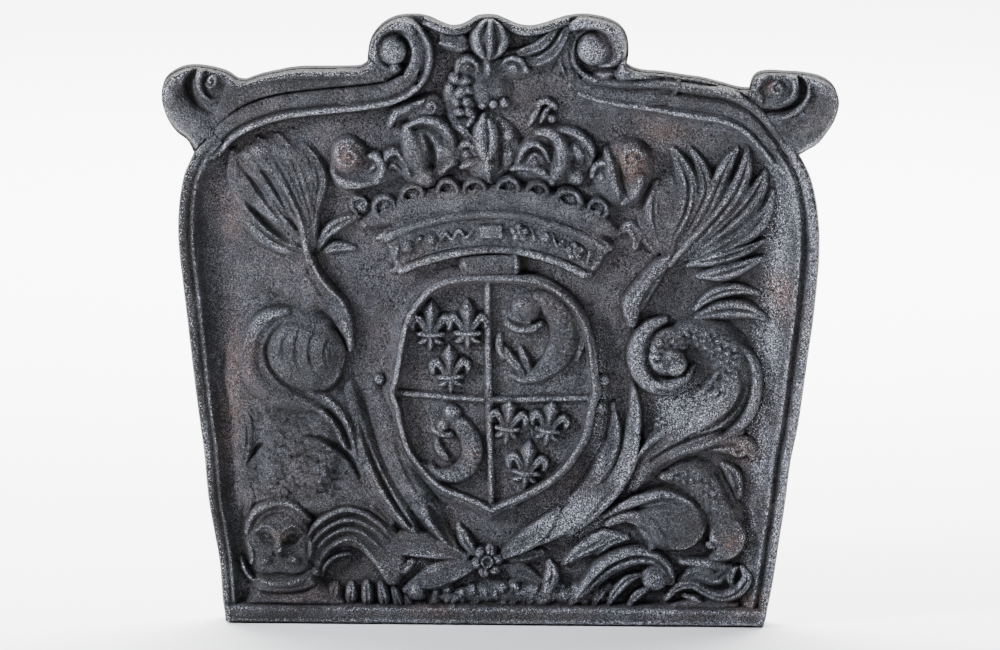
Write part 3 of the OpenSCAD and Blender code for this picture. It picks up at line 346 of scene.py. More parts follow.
high = sums(grain, "ADD", high, sums(grain, "MULTIPLY", sand, gi.outputs["Sand"]))
high = sums(grain, "SUBTRACT", high, sums(grain, "MULTIPLY", hole, gi.outputs["Pits"]))
grain.links.new(high, go.inputs["Height"])
grain.links.new(speck, go.inputs["Speck"])
grain.links.new(hole, go.inputs["Pit"])

# Blue-black scale, brown painted shade with some soot in the hollows, grey where hands have rubbed it plus
# painted highlights and glints on proud and lit places, rust in blooms
patina, gi, go = group("Iron patina", "ShaderNodeTree",
    [("Vector", "Vector"), ("Scale colour", "Color", (0.024, 0.025, 0.029, 1)),
        ("Rubbed colour", "Color", (0.085, 0.09, 0.1, 1)),
        ("Soot colour", "Color", (0.006, 0.0045, 0.004, 1)),
        ("Rust colour", "Color", (0.075, 0.046, 0.038, 1)), ("Hollow", "Float"), ("Proud", "Float"),
        ("Rust", "Float"), ("Speck", "Float"), ("Pit", "Float")],
    [("Color", "Color"), ("Roughness", "Float")])


def blend(tree, share, a, b, how="MIX"):
    return put(tree, "ShaderNodeMix", _data_type="RGBA", _blend_type=how, i0=share, i6=a, i7=b).outputs[2]


broad = noise(patina, gi.outputs["Vector"], 17.0, 5.0, 0.6)
patch = noise(patina, gi.outputs["Vector"], 55.0, 4.0, 0.65)
fine = noise(patina, gi.outputs["Vector"], 260.0, 3.0, 0.7)
tone = blend(patina, level(patina, patch, 0.4, 0.68, 0.0, 0.28), gi.outputs["Scale colour"],
    gi.outputs["Rubbed colour"])
# painted highlight, partly real rubbing: proud ridges and the light spots on lit slopes are mixed towards the
# rubbed colour
rub_and_highlight = sums(patina, "MULTIPLY", level(patina, gi.outputs["Proud"], 0.2, 1.1), level(patina, fine, 0.34, 0.6))
tone = blend(patina, rub_and_highlight, tone, gi.outputs["Rubbed colour"])
warm = blend(patina, level(patina, broad, 0.46, 0.66, 0.0, 0.3), tone, gi.outputs["Rust colour"])
bloom = sums(patina, "MULTIPLY", sums(patina, "ADD", gi.outputs["Rust"],
    level(patina, patch, 0.56, 0.74, 0.0, 0.4)), level(patina, fine, 0.36, 0.62, 0.25, 1.0))
tone = blend(patina, level(patina, bloom, 0.05, 0.9, 0.0, 0.9), blend(patina, 0.45, tone, warm),
    gi.outputs["Rust colour"])
sprinkle = level(patina, gi.outputs["Speck"], 0.4, 0.64, 0.12, 2.9)
tone = blend(patina, 1.0, tone, sprinkle, "MULTIPLY")
# painted shade, with some soot: creases, recesses, the outline and shadow spots darkened towards the shade
# colour; the grain's pits are darkened with it too
shade_and_soot = level(patina, gi.outputs["Hollow"], 0.12, 0.95, 0.0, 0.9)
tone = blend(patina, shade_and_soot, tone, gi.outputs["Soot colour"])
tone = blend(patina, sums(patina, "MULTIPLY", gi.outputs["Pit"], 0.8), tone, gi.outputs["Soot colour"])
# painted highlight: glints put into the base colour as near-white specks on proud edges
glint = sums(patina, "MULTIPLY", level(patina, gi.outputs["Speck"], 0.6, 0.645),
    level(patina, gi.outputs["Proud"], 0.2, 0.85, 0.08, 1.0))
tone = blend(patina, glint, tone, (0.86, 0.9, 1.0, 1))
patina.links.new(tone, go.inputs["Color"])
dull = sums(patina, "ADD", level(patina, fine, 0.34, 0.66, 0.46, 0.24), sums(patina, "MULTIPLY", shade_and_soot, 0.35))
dull = sums(patina, "ADD", dull, sums(patina, "MULTIPLY", bloom, 0.25))
dull = sums(patina, "SUBTRACT", dull, level(patina, gi.outputs["Speck"], 0.56, 0.7, 0.0, 0.12))
patina.links.new(dull, go.inputs["Roughness"])


def iron(name, scale, rubbed, lumps, sand, pits):
    """Cast iron for one family of members, with its own colours and depth of grain."""
    stuff = bpy.data.materials.new(name)
    stuff.use_nodes = True
    tree = stuff.node_tree
    shade = tree.nodes["Principled BSDF"]
    place = put(tree, "ShaderNodeTexCoord").outputs["Object"]
    rough = put(tree, "ShaderNodeGroup", _node_tree=grain, Vector=place, Lumps=lumps, Sand=sand, Pits=pits)
    marks = [put(tree, "ShaderNodeAttribute", _attribute_name=n).outputs["Fac"] for n in ("hollow",
        "proud", "rust")]
    # the rubbed colour is also the colour of the painted highlights
    coat = put(tree, "ShaderNodeGroup", _node_tree=patina, Vector=place, Scale_colour=(*scale, 1),
        Rubbed_colour=(*rubbed, 1), Hollow=marks[0], Proud=marks[1], Rust=marks[2],
        Speck=rough.outputs["Speck"], Pit=rough.outputs["Pit"])
    bump = put(tree, "ShaderNodeBump", Strength=1.0, Distance=0.0036, Height=rough.outputs["Height"])
    tree.links.new(coat.outputs["Color"], shade.inputs["Base Color"])
    tree.links.new(coat.outputs["Roughness"], shade.inputs["Roughness"])
    tree.links.new(bump.outputs["Normal"], shade.inputs["Normal"])
    shade.inputs["Metallic"].default_value = 0.1
    shade.inputs["Specular IOR Level"].default_value = 0.27
    return stuff


def settle(piece, node, stuff):
    """Gives a finished member its iron, hides the model part of its node, and hangs it on the root body."""
    if not piece.data.materials:
        piece.data.materials.append(stuff)
    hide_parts(node)
    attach(piece, "root")


ground_iron = iron("Ground iron", (0.021, 0.0208, 0.024), (0.08, 0.081, 0.094), 0.7, 0.7, 0.7)
settle(plate, "plate", ground_iron)


# ---- Foot band and border mouldings ----
# A bead, a groove and a sloping foot cut as one long moulding on the pattern: two side
# rails, and the inner moulding that runs on from them round the corners to the volutes.
LOW = -9.0           # a relief this low has no iron of its own at that place
PROUDEST = 20.6      # no member stands prouder than this
NARROWEST = 0.4      # half the width of the finest tool
CUT_FROM = 20.3      # a cut starts from no higher than this
EDGE_ROUND = 3.2     # the carving falls away over this much at the outline


def full(u, *_):
    return np.sqrt(np.clip(1 - u * u, 0, 1))


def swell(u, *_):
    return np.clip(1 - u * u, 0, 1)


def ribbed(u, *_):
    """Rounded, with a shallow vein along its middle."""
    return full(u) * (1 - 0.34 * np.exp(-(u / 0.16) ** 2))


def keeled(u, *_):
    """A raised keel with hollow sides, as a folded leaf."""
    return 0.45 * np.clip(1 - u ** 4, 0, 1) + 0.55 * np.clip(1 - np.abs(u), 0, 1) ** 1.4


def dished(u, *_):
    """Raised edges and a hollow between them."""
    return (0.52 + 0.48 * u * u) * np.clip(1 - u ** 6, 0, 1) ** 0.6


def scaly(pitch, deep):
    """A rounded body covered with overlapping scales, pitch mm long."""
    def form(u, share, run, off):
        row = np.floor(run / pitch)
        f = run / pitch - row
        g = off / (pitch * 1.25) + 0.5 * (row % 2)
        g = g - np.floor(g) - 0.5
        r = np.hypot(f, g * 1.6)
        lid = np.clip(1 - r / 0.95, 0, 1) ** 0.5
        return full(u) * (1 + deep * (lid - 0.55))
    return form


def strike(relief, points, form=full, blend=1.6, seat=0.0, slope=1.5, square=False):
    """Adds a carved stroke through (x, y, width, rise) to a relief, rises in mm over the seat."""
    way = flow([(x, y, w, h + seat) for x, y, w, h in points])
    way[:, 3] -= seat
    where, (d, off, share, run, wide, rise) = lay(way, 7.0)
    half = np.maximum(wide / 2, NARROWEST)
    u = np.clip(off / half, -1, 1)
    value = np.where(d < half, seat + rise * form(u, share, run, off), seat - (d - half) * slope)
    value = np.where(d < 1e8, value, LOW)
    if square:
        value = np.where((share > 0) & (share < 1), value, LOW)
    relief[where] = joined(relief[where], np.maximum(value, LOW), blend)


def groove(relief, points, form=swell):
    """Cuts a groove through (x, y, width, depth) into a relief."""
    where, (d, off, share, run, wide, deep) = lay(flow(points), 1.0)
    half = np.maximum(wide / 2, NARROWEST)
    relief[where] = np.minimum(relief[where], CUT_FROM) - np.where(d < half,
        deep * form(np.clip(off / half, -1, 1)), 0)


def boss(relief, x, y, wide, rise, long=1.0, slant=0.0, form=full, blend=1.6, seat=0.0):
    """Adds a knob, long times longer than wide, turned slant degrees."""
    cx, cz = sheet(x, y, rise + seat)
    r = wide * max(long, 1) / 2 + 7
    i0, i1, j0, j1 = window(cx - r, cx + r, cz - r, cz + r)
    a = math.radians(slant)
    px, pz = gx[None, j0:j1] - cx, gz[i0:i1, None] - cz
    u, v = px * math.cos(a) + pz * math.sin(a), (pz * math.cos(a) - px * math.sin(a)) / long
    d = np.hypot(u, v)
    half = wide / 2
    value = np.where(d < half, seat + rise * form(d / half, d, d, u), seat - (d - half) * 1.5)
    relief[i0:i1, j0:j1] = joined(relief[i0:i1, j0:j1], np.maximum(value, LOW), blend)


def curl(relief, x, y, across, wire, rise, turns=1.0, start=0.0, end=None, lift=0.0):
    """Adds a ring, or a scroll that winds in from across to end while it rises by lift."""
    n = max(10, int(18 * abs(turns)))
    end = across if end is None else end
    pts = []
    for k in range(n + 1):
        t = k / n
        a, r = math.radians(start) + 2 * math.pi * turns * t, (across + (end - across) * t - wire) / 2
        pts.append((x + r * math.cos(a), y - r * math.sin(a), wire * (1 - 0.3 * t * (end < across)),
            rise + lift * t))
    strike(relief, pts)


def blank():
    return np.full(face.shape, LOW)


def cast(name, relief, soft=0.8, fillet=3.0, grit=1.0):
    """Casts a relief onto the face grown so far, and gives the member as a closed piece."""
    global face
    relief = soften(relief, soft)
    relief = np.minimum(relief, PROUDEST - 0.6 * grit)
    rounded = LOW + 29 * np.clip(margin / EDGE_ROUND, 0, 1) ** 0.5
    relief = np.where(margin < EDGE_ROUND, np.minimum(relief, rounded), relief)
    new = joined(face, relief, fillet)
    keep = (new - face > 0.03) & (margin > 0.3)
    top = new - 0.14 + skin_broad + grit * (skin - skin_broad)
    piece = shell(name, gx, gz, top, np.maximum(face + skin_broad - 0.9, -1.5), keep)
    face = np.where(keep, np.maximum(face, new), face)
    return piece


def member(node, relief, stuff, slot, *how):
    """Casts a relief as the member of that name, and settles it."""
    settle(cast(node + "_cast", relief, *how), node, stuff)


BAND_HIGH, BAND_PROUD, BAND_ROUND = 17.0, 16.0, 3.0
foot = np.where(UP < BAND_HIGH, BAND_PROUD, BAND_PROUD - (UP - BAND_HIGH) * 3.0)
foot = np.where(UP < BAND_ROUND, foot - (BAND_ROUND - UP) ** 2 * 0.5, foot)
foot = np.where(margin > 0, foot, LOW)
for x, y, w in ((438, 613, 15), (452, 607, 12), (470, 614, 16), (486, 609, 11), (505, 615, 15),
        (528, 611, 13), (548, 614, 12)):
    boss(foot, x, y, w, 17.5, 0.8)
border_iron = iron("Border iron", (0.0175, 0.0178, 0.021), (0.108, 0.113, 0.132), 0.6, 0.7, 0.6)
member("foot_band", foot, border_iron, "border_iron", 1.0)

LEFT_CUT = [(0, 0.2), (0.01, 0.8), (0.03, 0.93), (0.08, 1.0), (0.16, 0.99), (0.24, 0.93), (0.29, 0.85),
    (0.33, 0.83), (0.36, 0.92), (0.4, 0.96), (0.44, 0.86), (0.5, 0.58), (0.6, 0.3), (0.72, 0.13),
    (0.88, 0.04), (1, -0.05)]
RIGHT_CUT = [(0, 0.2), (0.01, 0.75), (0.05, 0.92), (0.12, 1.0), (0.19, 0.97), (0.24, 0.8), (0.28, 0.6),
    (0.33, 0.58), (0.37, 0.76), (0.42, 0.9), (0.46, 0.86), (0.5, 0.76), (0.6, 0.57), (0.7, 0.4), (0.8, 0.25),
    (0.9, 0.1), (1, -0.05)]
TOP_CUT = [(0, 0.3), (0.03, 0.5), (0.07, 0.78), (0.13, 0.9), (0.22, 0.94), (0.36, 0.9), (0.48, 0.82),
    (0.56, 0.68), (0.6, 0.76), (0.65, 1.0), (0.73, 1.04), (0.79, 0.86), (0.82, 0.42), (0.84, 0.02),
    (0.9, -0.1), (0.95, -0.05), (1, -0.1)]
LIP_CUT = [(0, 0), (0.04, 0.72), (0.13, 0.97), (0.28, 1.0), (0.46, 0.84), (0.8, 0.78), (0.93, 0.58), (1, 0.1)]


def upright(tree, geometry, stuff):
    """Ends a tree: stands the work up against the plate, makes it real and gives it its iron."""
    stood = put(tree, "GeometryNodeTransform", Geometry=geometry, Translation=(0, -0.010, 0),
        Rotation=(math.pi / 2, 0, 0))
    smooth = put(tree, "GeometryNodeSetShadeSmooth", Geometry=stood.outputs["Geometry"])
    real = put(tree, "GeometryNodeRealizeInstances", Geometry=smooth.outputs["Geometry"])
    return put(tree, "GeometryNodeSetMaterial", Geometry=real.outputs["Geometry"],
        Material=stuff).outputs["Geometry"]


def uneven(tree, geometry, depth, seed):
    """Moves a surface in and out along its normal, as hand-cut wood and rammed sand leave it."""
    spot = put(tree, "GeometryNodeInputPosition").outputs[0]
    wave = put(tree, "ShaderNodeTexNoise", _noise_dimensions="4D", Vector=spot, W=seed, Scale=75.0,
        Detail=4.0, Roughness=0.62)
    push = sums(tree, "MULTIPLY", sums(tree, "SUBTRACT", wave.outputs["Fac"], 0.5), depth)
    along = put(tree, "ShaderNodeVectorMath", _operation="SCALE",
        i0=put(tree, "GeometryNodeInputNormal").outputs["Normal"], Scale=push)
    return put(tree, "GeometryNodeSetPosition", Geometry=geometry,
        Offset=along.outputs["Vector"]).outputs["Geometry"]


def moulding_tree(name, section):
    """A tree that carries a cut section along the curve it is given, on the right-hand side of the way."""
    tree, gi, go = group(name, "GeometryNodeTree", [("Way", "Geometry"), ("Width", "Float", 0.03),
        ("Rise", "Float", 0.016), ("Seat", "Float", 0.0), ("Spacing", "Float", 0.002),
        ("Unevenness", "Float", 0.0016), ("Seed", "Float", 1.0), ("Iron", "Material")],
        [("Moulding", "Geometry")])
    line = put(tree, "GeometryNodeCurvePrimitiveLine", Start=(0, 0, 0), End=(1, 0, 0))
    line = put(tree, "GeometryNodeResampleCurve", Curve=line.outputs["Curve"], Count=34)
    spot = put(tree, "ShaderNodeSeparateXYZ", Vector=put(tree, "GeometryNodeInputPosition").outputs[0])
    cut = put(tree, "ShaderNodeFloatCurve", Value=spot.outputs["X"])
    marks = cut.mapping.curves[0].points
    cut.mapping.clip_min_y = -1
    cut.mapping.use_clip = False
    marks[0].location, marks[1].location = section[0], section[-1]
    for mark in section[1:-1]:
        marks.new(*mark)
    cut.mapping.update()
    across = sums(tree, "MULTIPLY", spot.outputs["X"], gi.outputs["Width"])
    high = sums(tree, "MULTIPLY", cut.outputs["Value"], gi.outputs["Rise"])
    shape = put(tree, "GeometryNodeSetPosition", Geometry=line.outputs["Curve"],
        Position=put(tree, "ShaderNodeCombineXYZ", X=across,
            Y=sums(tree, "MULTIPLY", high, -1.0)).outputs["Vector"])
    shape = put(tree, "GeometryNodeSetSplineCyclic", Geometry=shape.outputs["Geometry"], Cyclic=True)
    way = put(tree, "GeometryNodeResampleCurve", _mode="LENGTH", Curve=gi.outputs["Way"],
        Length=gi.outputs["Spacing"])
    way = put(tree, "GeometryNodeSetCurveNormal", _mode="Z_UP", Curve=way.outputs["Curve"])
    body = put(tree, "GeometryNodeCurveToMesh", Curve=way.outputs["Curve"],
        Profile_Curve=shape.outputs["Geometry"], Scale=put(tree, "GeometryNodeInputRadius").outputs[0],
        Fill_Caps=True)
    worn = uneven(tree, body.outputs["Mesh"], gi.outputs["Unevenness"], gi.outputs["Seed"])
    seat = put(tree, "ShaderNodeCombineXYZ", Z=gi.outputs["Seat"])
    worn = put(tree, "GeometryNodeTransform", Geometry=worn, Translation=seat.outputs["Vector"])
    tree.links.new(upright(tree, worn.outputs["Geometry"], gi.outputs["Iron"]), go.inputs["Moulding"])
    return tree


def grown(name, source, tree, **sizes):
    """Grows a tree's work on a source object and gives it back as a plain closed mesh."""
    work = source.modifiers.new("Work", "NODES")
    work.node_group = tree
    for item in tree.interface.items_tree:
        if item.item_type == "SOCKET" and item.in_out == "INPUT" and item.name in sizes:
            work[item.identifier] = sizes[item.name]
    bpy.context.view_layer.update()
    mesh = bpy.data.meshes.new_from_object(source.evaluated_get(bpy.context.evaluated_depsgraph_get()))
    source.modifiers.remove(work)
    bpy.data.objects.remove(source)
    skin_mesh = bmesh.new()
    skin_mesh.from_mesh(mesh)
    bmesh.ops.remove_doubles(skin_mesh, verts=skin_mesh.verts, dist=1e-6)
    bmesh.ops.recalc_face_normals(skin_mesh, faces=skin_mesh.faces)
    skin_mesh.to_mesh(mesh)
    skin_mesh.free()
    mesh.name = name
    piece = bpy.data.objects.new(name, mesh)
    bpy.context.scene.collection.objects.link(piece)
    return piece


def drawn_way(name, ways, closed=False):
    """Curves laid flat on the drawing, from stations (across, up, width share)."""
    line = bpy.data.curves.new(name, "CURVE")
    line.dimensions = "3D"
    for way in ways:
        spline = line.splines.new("POLY")
        spline.points.add(len(way) - 1)
        spline.points.foreach_set("co",
            np.column_stack([way[:, :2] / 1000, np.zeros(len(way)), np.ones(len(way))]).ravel())
        spline.points.foreach_set("radius", way[:, 2])
        spline.use_cyclic_u = closed
    holder = bpy.data.objects.new(name, line)
    bpy.context.scene.collection.objects.link(holder)
    return holder


def bed(relief, way, width, rise, section, seat=0.0, under=0.3):
    """Lays a moulding's section into a relief: under the real moulding, or as the carved end of one."""
    lanes = np.column_stack([way[:, :2], 2 * width * way[:, 2], rise * way[:, 2]])
    where, (d, off, share, run, wide, high) = lay(lanes, 0.5)
    u = off / np.maximum(wide / 2, 1)
    value = np.where((u > 0) & (u < 1), seat + high * np.interp(u, *zip(*section)), LOW)
    relief[where] = np.maximum(relief[where], value - under)


def moulding(name, runs, width, rise, tree, section, stuff, seed, seat=0.0, **more):
    """Carries a section along one or several runs of drawn points (x, y, width share)."""
    runs = [runs] if isinstance(runs[0], tuple) else runs
    ways = [flow([(x, y, share, rise + seat) for x, y, share in points]) for points in runs]
    for way in ways:
        bed(face, way, width, rise, section, seat)
    return grown(name, drawn_way(name, ways), tree, Width=width / 1000, Rise=rise / 1000,
        Seat=(seat - 0.5) / 1000, Seed=float(seed), Iron=stuff, **more)


rail_left = moulding("rail_left_cast", [(224.4, 620, 0.76), (223.5, 612, 0.76), (222.8, 604, 0.76),
    (219.5, 560, 0.78), (213.5, 525, 0.81), (208.5, 495, 0.84), (204.5, 450, 0.88), (200.5, 420, 0.9),
    (195.5, 380, 0.93), (190.5, 335, 0.98), (185.5, 290, 1.0), (181, 250, 1.02), (180, 225, 1.03),
    (181.5, 200, 1.02), (185.5, 178, 1.0), (192.5, 161, 0.95), (202, 146, 0.9), (215, 133, 0.88)], 36.0, 16.5,
    moulding_tree("Left rail moulding", LEFT_CUT), LEFT_CUT, border_iron, 11)
rail_right = moulding("rail_right_cast", [(785, 140, 0.8), (794, 152, 0.84), (802, 165, 0.88),
    (808.5, 180, 0.92), (813.5, 200, 0.97), (816.5, 225, 1), (817, 250, 1), (815.5, 275, 1),
    (811.5, 315, 0.98), (807.5, 345, 0.96), (801.5, 390, 0.92), (796.5, 425, 0.88), (789.5, 460, 0.85),
    (784.5, 500, 0.82), (778.5, 540, 0.8), (772.5, 580, 0.78), (768.5, 604, 0.78), (766, 620, 0.78)], 47.0,
    16.5, moulding_tree("Right rail moulding", RIGHT_CUT), RIGHT_CUT, border_iron, 12)
inner_left = moulding("moulding_left_cast", [(207, 139, 0.86), (214, 129, 0.9), (223, 119, 0.95),
    (238, 108.5, 1), (256, 101, 1), (276, 95, 1), (300, 91, 1), (330, 88, 1), (360, 85.5, 0.98),
    (384, 82, 0.95), (399, 77, 0.9)], 33.0, 16.0, moulding_tree("Left top moulding", TOP_CUT), TOP_CUT,
    border_iron, 13)
SWEPT_CUT = [(0, 0.3), (0.02, 0.6), (0.06, 0.85), (0.12, 0.95), (0.19, 0.88), (0.23, 0.66), (0.26, 0.5),
    (0.29, 0.6), (0.33, 0.8), (0.42, 0.85), (0.52, 0.78), (0.56, 0.66), (0.59, 0.76), (0.64, 1.0),
    (0.69, 0.97), (0.73, 0.62), (0.8, 0.3), (0.9, 0.1), (1, -0.1)]
inner_right = moulding("moulding_right_cast", [(583, 75, 0.62), (598, 79, 0.68), (618, 80, 0.78),
    (638, 79.5, 0.88), (660, 79.5, 0.96), (682, 82, 1), (704, 85.5, 1), (722, 88, 1), (738, 93, 1),
    (752, 101, 0.96), (764, 112, 0.9), (774, 125, 0.84), (783, 138, 0.78), (791, 150, 0.74)], 50.0, 16.0,
    moulding_tree("Right top moulding", SWEPT_CUT), SWEPT_CUT, border_iron, 14)
for piece, node in ((rail_left, "rail_left"), (rail_right, "rail_right"), (inner_left, "moulding_left"),
        (inner_right, "moulding_right")):
    settle(piece, node, border_iron)


# ---- Outer band of the top edge ----
# A broad flat band carved on from the ears to the crest, rounded over at the casting's
# edge; the lip of the crest is narrower, and dips and rises between the volutes.
def area(points, rise, reach=24.0):
    """The part of the grid that a drawn shape covers, and how far inside its edge each point lies."""
    ring = flow([(x, y, 0, rise) for x, y in [*points, points[0]]])[:, :2]
    where, near = lay(np.column_stack([ring, np.zeros((len(ring), 2))]), reach)
    deep = np.minimum(near[0], reach)
    return where, np.where(within(ring, gx[None, where[1]], gz[where[0], None]), deep, -deep)


def heap_up(relief, points, rise, bevel, seat=0.0, blend=1.6, soft=False):
    """Fills a drawn shape to a height, its edge rounded over bevel mm, or drawn out flat at the foot."""
    where, deep = area(points, rise + seat, max(24.0, bevel))
    t = np.clip(deep / bevel, 0, 1)
    turn_over = t * t * (3 - 2 * t) if soft else np.sqrt(np.clip(1 - (1 - t) ** 2, 0, 1))
    value = np.where(deep > 0, seat + rise * turn_over, np.maximum(seat + deep * 1.5, LOW))
    relief[where] = joined(relief[where], value, blend)


work = blank()
heap_up(work, [(232, 70), (246, 76), (262, 71), (280, 67), (300, 64), (330, 63), (352, 63), (372, 60),
    (384, 66), (390, 82), (376, 86), (360, 88.5), (330, 91.5), (300, 94.5), (276, 98.5), (256, 104.5),
    (240, 112), (228, 120), (218, 108), (224, 90)], 15.5, 6)
groove(work, [(240, 88, 4, 1.5), (262, 82, 5, 2), (290, 78, 5, 2), (330, 77, 5, 2), (368, 75, 4, 1.5)])
groove(work, [(236, 112, 4, 3), (256, 101.5, 5, 5), (276, 95.5, 5, 5), (300, 91.5, 5, 5), (330, 88.5, 5, 5),
    (360, 86, 5, 5), (384, 83, 4, 4)])
member("top_band_left", work, border_iron, "border_iron", 0.9)
work = blank()
heap_up(work, [(618, 58), (632, 65), (645, 67), (660, 68), (680, 70), (700, 73), (720, 78), (737, 82),
    (752, 84), (764, 96), (760, 108), (750, 103), (736, 95.5), (721, 91), (704, 88.5), (682, 85), (660, 82.5),
    (638, 82.5), (614, 82)], 15.5, 6)
groove(work, [(628, 70, 4, 2), (650, 76, 6, 5), (680, 79, 7, 6), (705, 83, 7, 6), (730, 90, 6, 5),
    (748, 98, 4, 3)])
member("top_band_right", work, border_iron, "border_iron", 0.9)
crest_lip = moulding("crest_edge_cast", [(426, 19.5, 0.9), (441, 25, 1), (451, 28.5, 1), (460, 28, 1),
    (468, 24.5, 1), (476, 19.5, 0.9), (485, 18.5, 0.7), (496, 18.5, 0.7), (507, 23, 0.9), (518, 27.5, 1),
    (530, 29, 1), (543, 26.5, 1), (555, 22.5, 1), (568, 19, 0.9)], 9.0, 12.0,
    moulding_tree("Crest lip", LIP_CUT), LIP_CUT, border_iron, 23)
settle(crest_lip, "crest_edge", border_iron)


# ---- Crest volutes ----
# The inner moulding swept up and rolled round a boss on each side of the crest: a wide
# roll that narrows as it turns in, a thin bead outside it, and the boss carved proud.
def blunt(u, *_):
    return np.clip(1 - np.abs(u) ** 3, 0, 1) ** 0.6


def turned(points):
    """The way of the moulding as it turns in, from stations (x, y, width share)."""
    return flow([(x, y, share, 16) for x, y, share in points])


def volute(name, way, width, section, fills, drum, roll, ends, crescent):
    """The moulding rolled in round a drum, with its start filled and a crescent cut inside the roll."""
    work = blank()
    bed(work, way, width, 16.5, section, 0.0, 0.4)
    for fill in fills:
        boss(work, *fill, form=swell, blend=4)
    strike(work, roll, blunt)
    strike(work, ends, blunt)
    boss(work, *drum, form=blunt, blend=3)
    groove(work, crescent)
    member(name, work, border_iron, "border_iron")


volute("volute_left", turned([(350, 86.5, 0.8), (362, 85.4, 0.9), (372, 84.2, 0.96), (378, 83.2, 0.96),
    (388, 81.5, 0.94), (398, 77.5, 0.92), (406, 70, 0.9), (410, 60, 0.87), (410, 50, 0.82), (406, 41, 0.72),
    (399, 35.5, 0.6), (390, 35, 0.48), (383, 39, 0.4)]), 33.0, TOP_CUT,
    [(386, 74, 26, 14.5, 0.8), (396, 69, 18, 14.5)], (391, 51, 36, 14),
    [(412, 33, 12, 13), (403, 27, 16, 15.5), (390, 27, 17, 16), (379, 34, 16, 16), (375, 46, 14, 15.5),
        (376, 58, 12, 14.5), (383, 68, 11, 14), (392, 71, 7, 12)],
    [(366, 76, 12, 12), (376, 74, 12, 13), (386, 74, 10, 13)],
    [(400, 37, 5, 4), (406, 44, 6, 7), (408, 54, 7, 8), (404, 63, 6, 5), (398, 67, 4, 2)])
volute("volute_right", turned([(652, 79.5, 0.78), (642, 79.5, 0.84), (632, 80, 0.84), (618, 80, 0.78),
    (605, 79.5, 0.7), (592, 77, 0.62), (581, 70, 0.55), (575.5, 58, 0.5), (577, 45, 0.44), (583, 37, 0.37),
    (592, 34, 0.3)])[::-1], 50.0, SWEPT_CUT, [(605, 74, 26, 13, 0.8)], (596, 51, 36, 14),
    [(572, 28, 12, 13), (583, 25, 16, 15.5), (596, 25, 17, 16), (608, 31, 17, 16), (616, 42, 17, 15.5),
        (617, 55, 16, 14.5), (611, 65, 14, 14), (600, 70, 8, 12)],
    [(624, 66, 14, 12), (630, 73, 13, 12.5), (618, 75, 12, 13)],
    [(579, 42, 4, 3), (576, 54, 6, 8), (580, 65, 7, 11), (592, 70, 7, 11), (606, 70, 7, 9), (617, 66, 5, 5)])
for name, x, y, wide in (("volute_eye_left", 393, 53, 30), ("volute_eye_right", 592, 51.5, 33)):
    work = blank()
    boss(work, x, y, wide, 18, 1.04, 20, blunt, blend=2.5)
    boss(work, x - 2, y - 3, wide * 0.6, 19.5, blend=2.5)
    member(name, work, border_iron, "border_iron", 0.9, 1.5)


# ---- Corner ears ----
# The rolled-over ends of the top edge: each a smooth rounded shell that winds in round
# a knob, with one deep crescent cut between them.
work = blank()
heap_up(work, [(200, 153), (190, 139), (180, 131), (171, 121), (165, 107), (163, 94), (166, 80), (175, 70),
    (187, 65), (200, 62), (216, 64), (231, 69), (244, 75), (258, 84), (256, 99), (242, 111), (230, 121),
    (219, 131), (211, 141)], 11.5, 7)
strike(work, [(212, 66, 8, 12), (198, 69, 14, 14.5), (183, 76, 24, 16.5), (176, 90, 27, 17),
    (178, 105, 30, 17), (189, 117, 34, 16.5), (203, 127, 32, 15.5), (212, 134, 20, 13)], blend=2.4)
strike(work, [(226, 68, 8, 11), (234, 77, 14, 14), (234, 90, 16, 14.5), (226, 103, 14, 13),
    (218, 114, 10, 11)], swell, blend=3)
groove(work, [(204, 65, 5, 3), (196, 72, 9, 7), (191, 83, 10, 10), (194, 96, 9, 9), (204, 107, 7, 6),
    (216, 113, 5, 3)], swell)
member("ear_left", work, border_iron, "border_iron", 1.1)
work = blank()
heap_up(work, [(790, 157), (805, 150), (816, 143), (825, 132), (832, 121), (836, 110), (837, 100), (834, 91),
    (828, 81), (817, 73), (800, 69), (780, 67.5), (764, 67.5), (753, 71), (744, 80), (741, 94), (746, 104),
    (756, 112), (766, 124), (776, 139)], 11.5, 7)
strike(work, [(788, 71, 8, 12), (803, 76, 14, 14.5), (817, 86, 24, 16.5), (821, 100, 28, 17),
    (814, 115, 32, 17), (801, 127, 34, 16.5), (790, 138, 26, 14)], blend=2.4)
strike(work, [(803, 82, 4, 13), (806, 92, 6, 15.5), (803, 102, 6, 16), (795, 111, 6, 16), (784, 117, 6, 15),
    (768, 120, 5, 12)], blend=1.0)
groove(work, [(788, 73, 4, 3), (797, 79, 7, 8), (800, 90, 8, 11), (796, 101, 8, 11), (786, 108, 7, 10),
    (774, 111, 6, 8), (759, 109, 4, 4)])
groove(work, [(810, 84, 3, 1.5), (813, 95, 4, 2.5), (809, 107, 4, 3), (799, 117, 4, 3), (784, 124, 3, 1.5)])
member("ear_right", work, border_iron, "border_iron", 1.1)
work = blank()
boss(work, 213, 84, 36, 15, 1.12, -40, swell, blend=4)
strike(work, [(224, 70, 5, 13), (213, 66, 8, 16.5), (204, 72, 9, 18), (201.5, 84, 9, 18.5),
    (206, 95, 9, 17.5), (216, 101, 8, 15), (226, 97, 5, 12)], blend=1.4)
curl(work, 214, 82, 19, 6, 17, 1.2, 200, 8, lift=2.5)
groove(work, [(218, 71, 3, 2), (209.5, 75, 3.5, 4), (207, 84, 3.5, 4.5), (211, 93, 3.5, 4), (219, 95, 3, 2)])
member("ear_eye_left", work, border_iron, "border_iron")
work = blank()
boss(work, 775, 88, 40, 15, 1.05, 60, swell, blend=4)
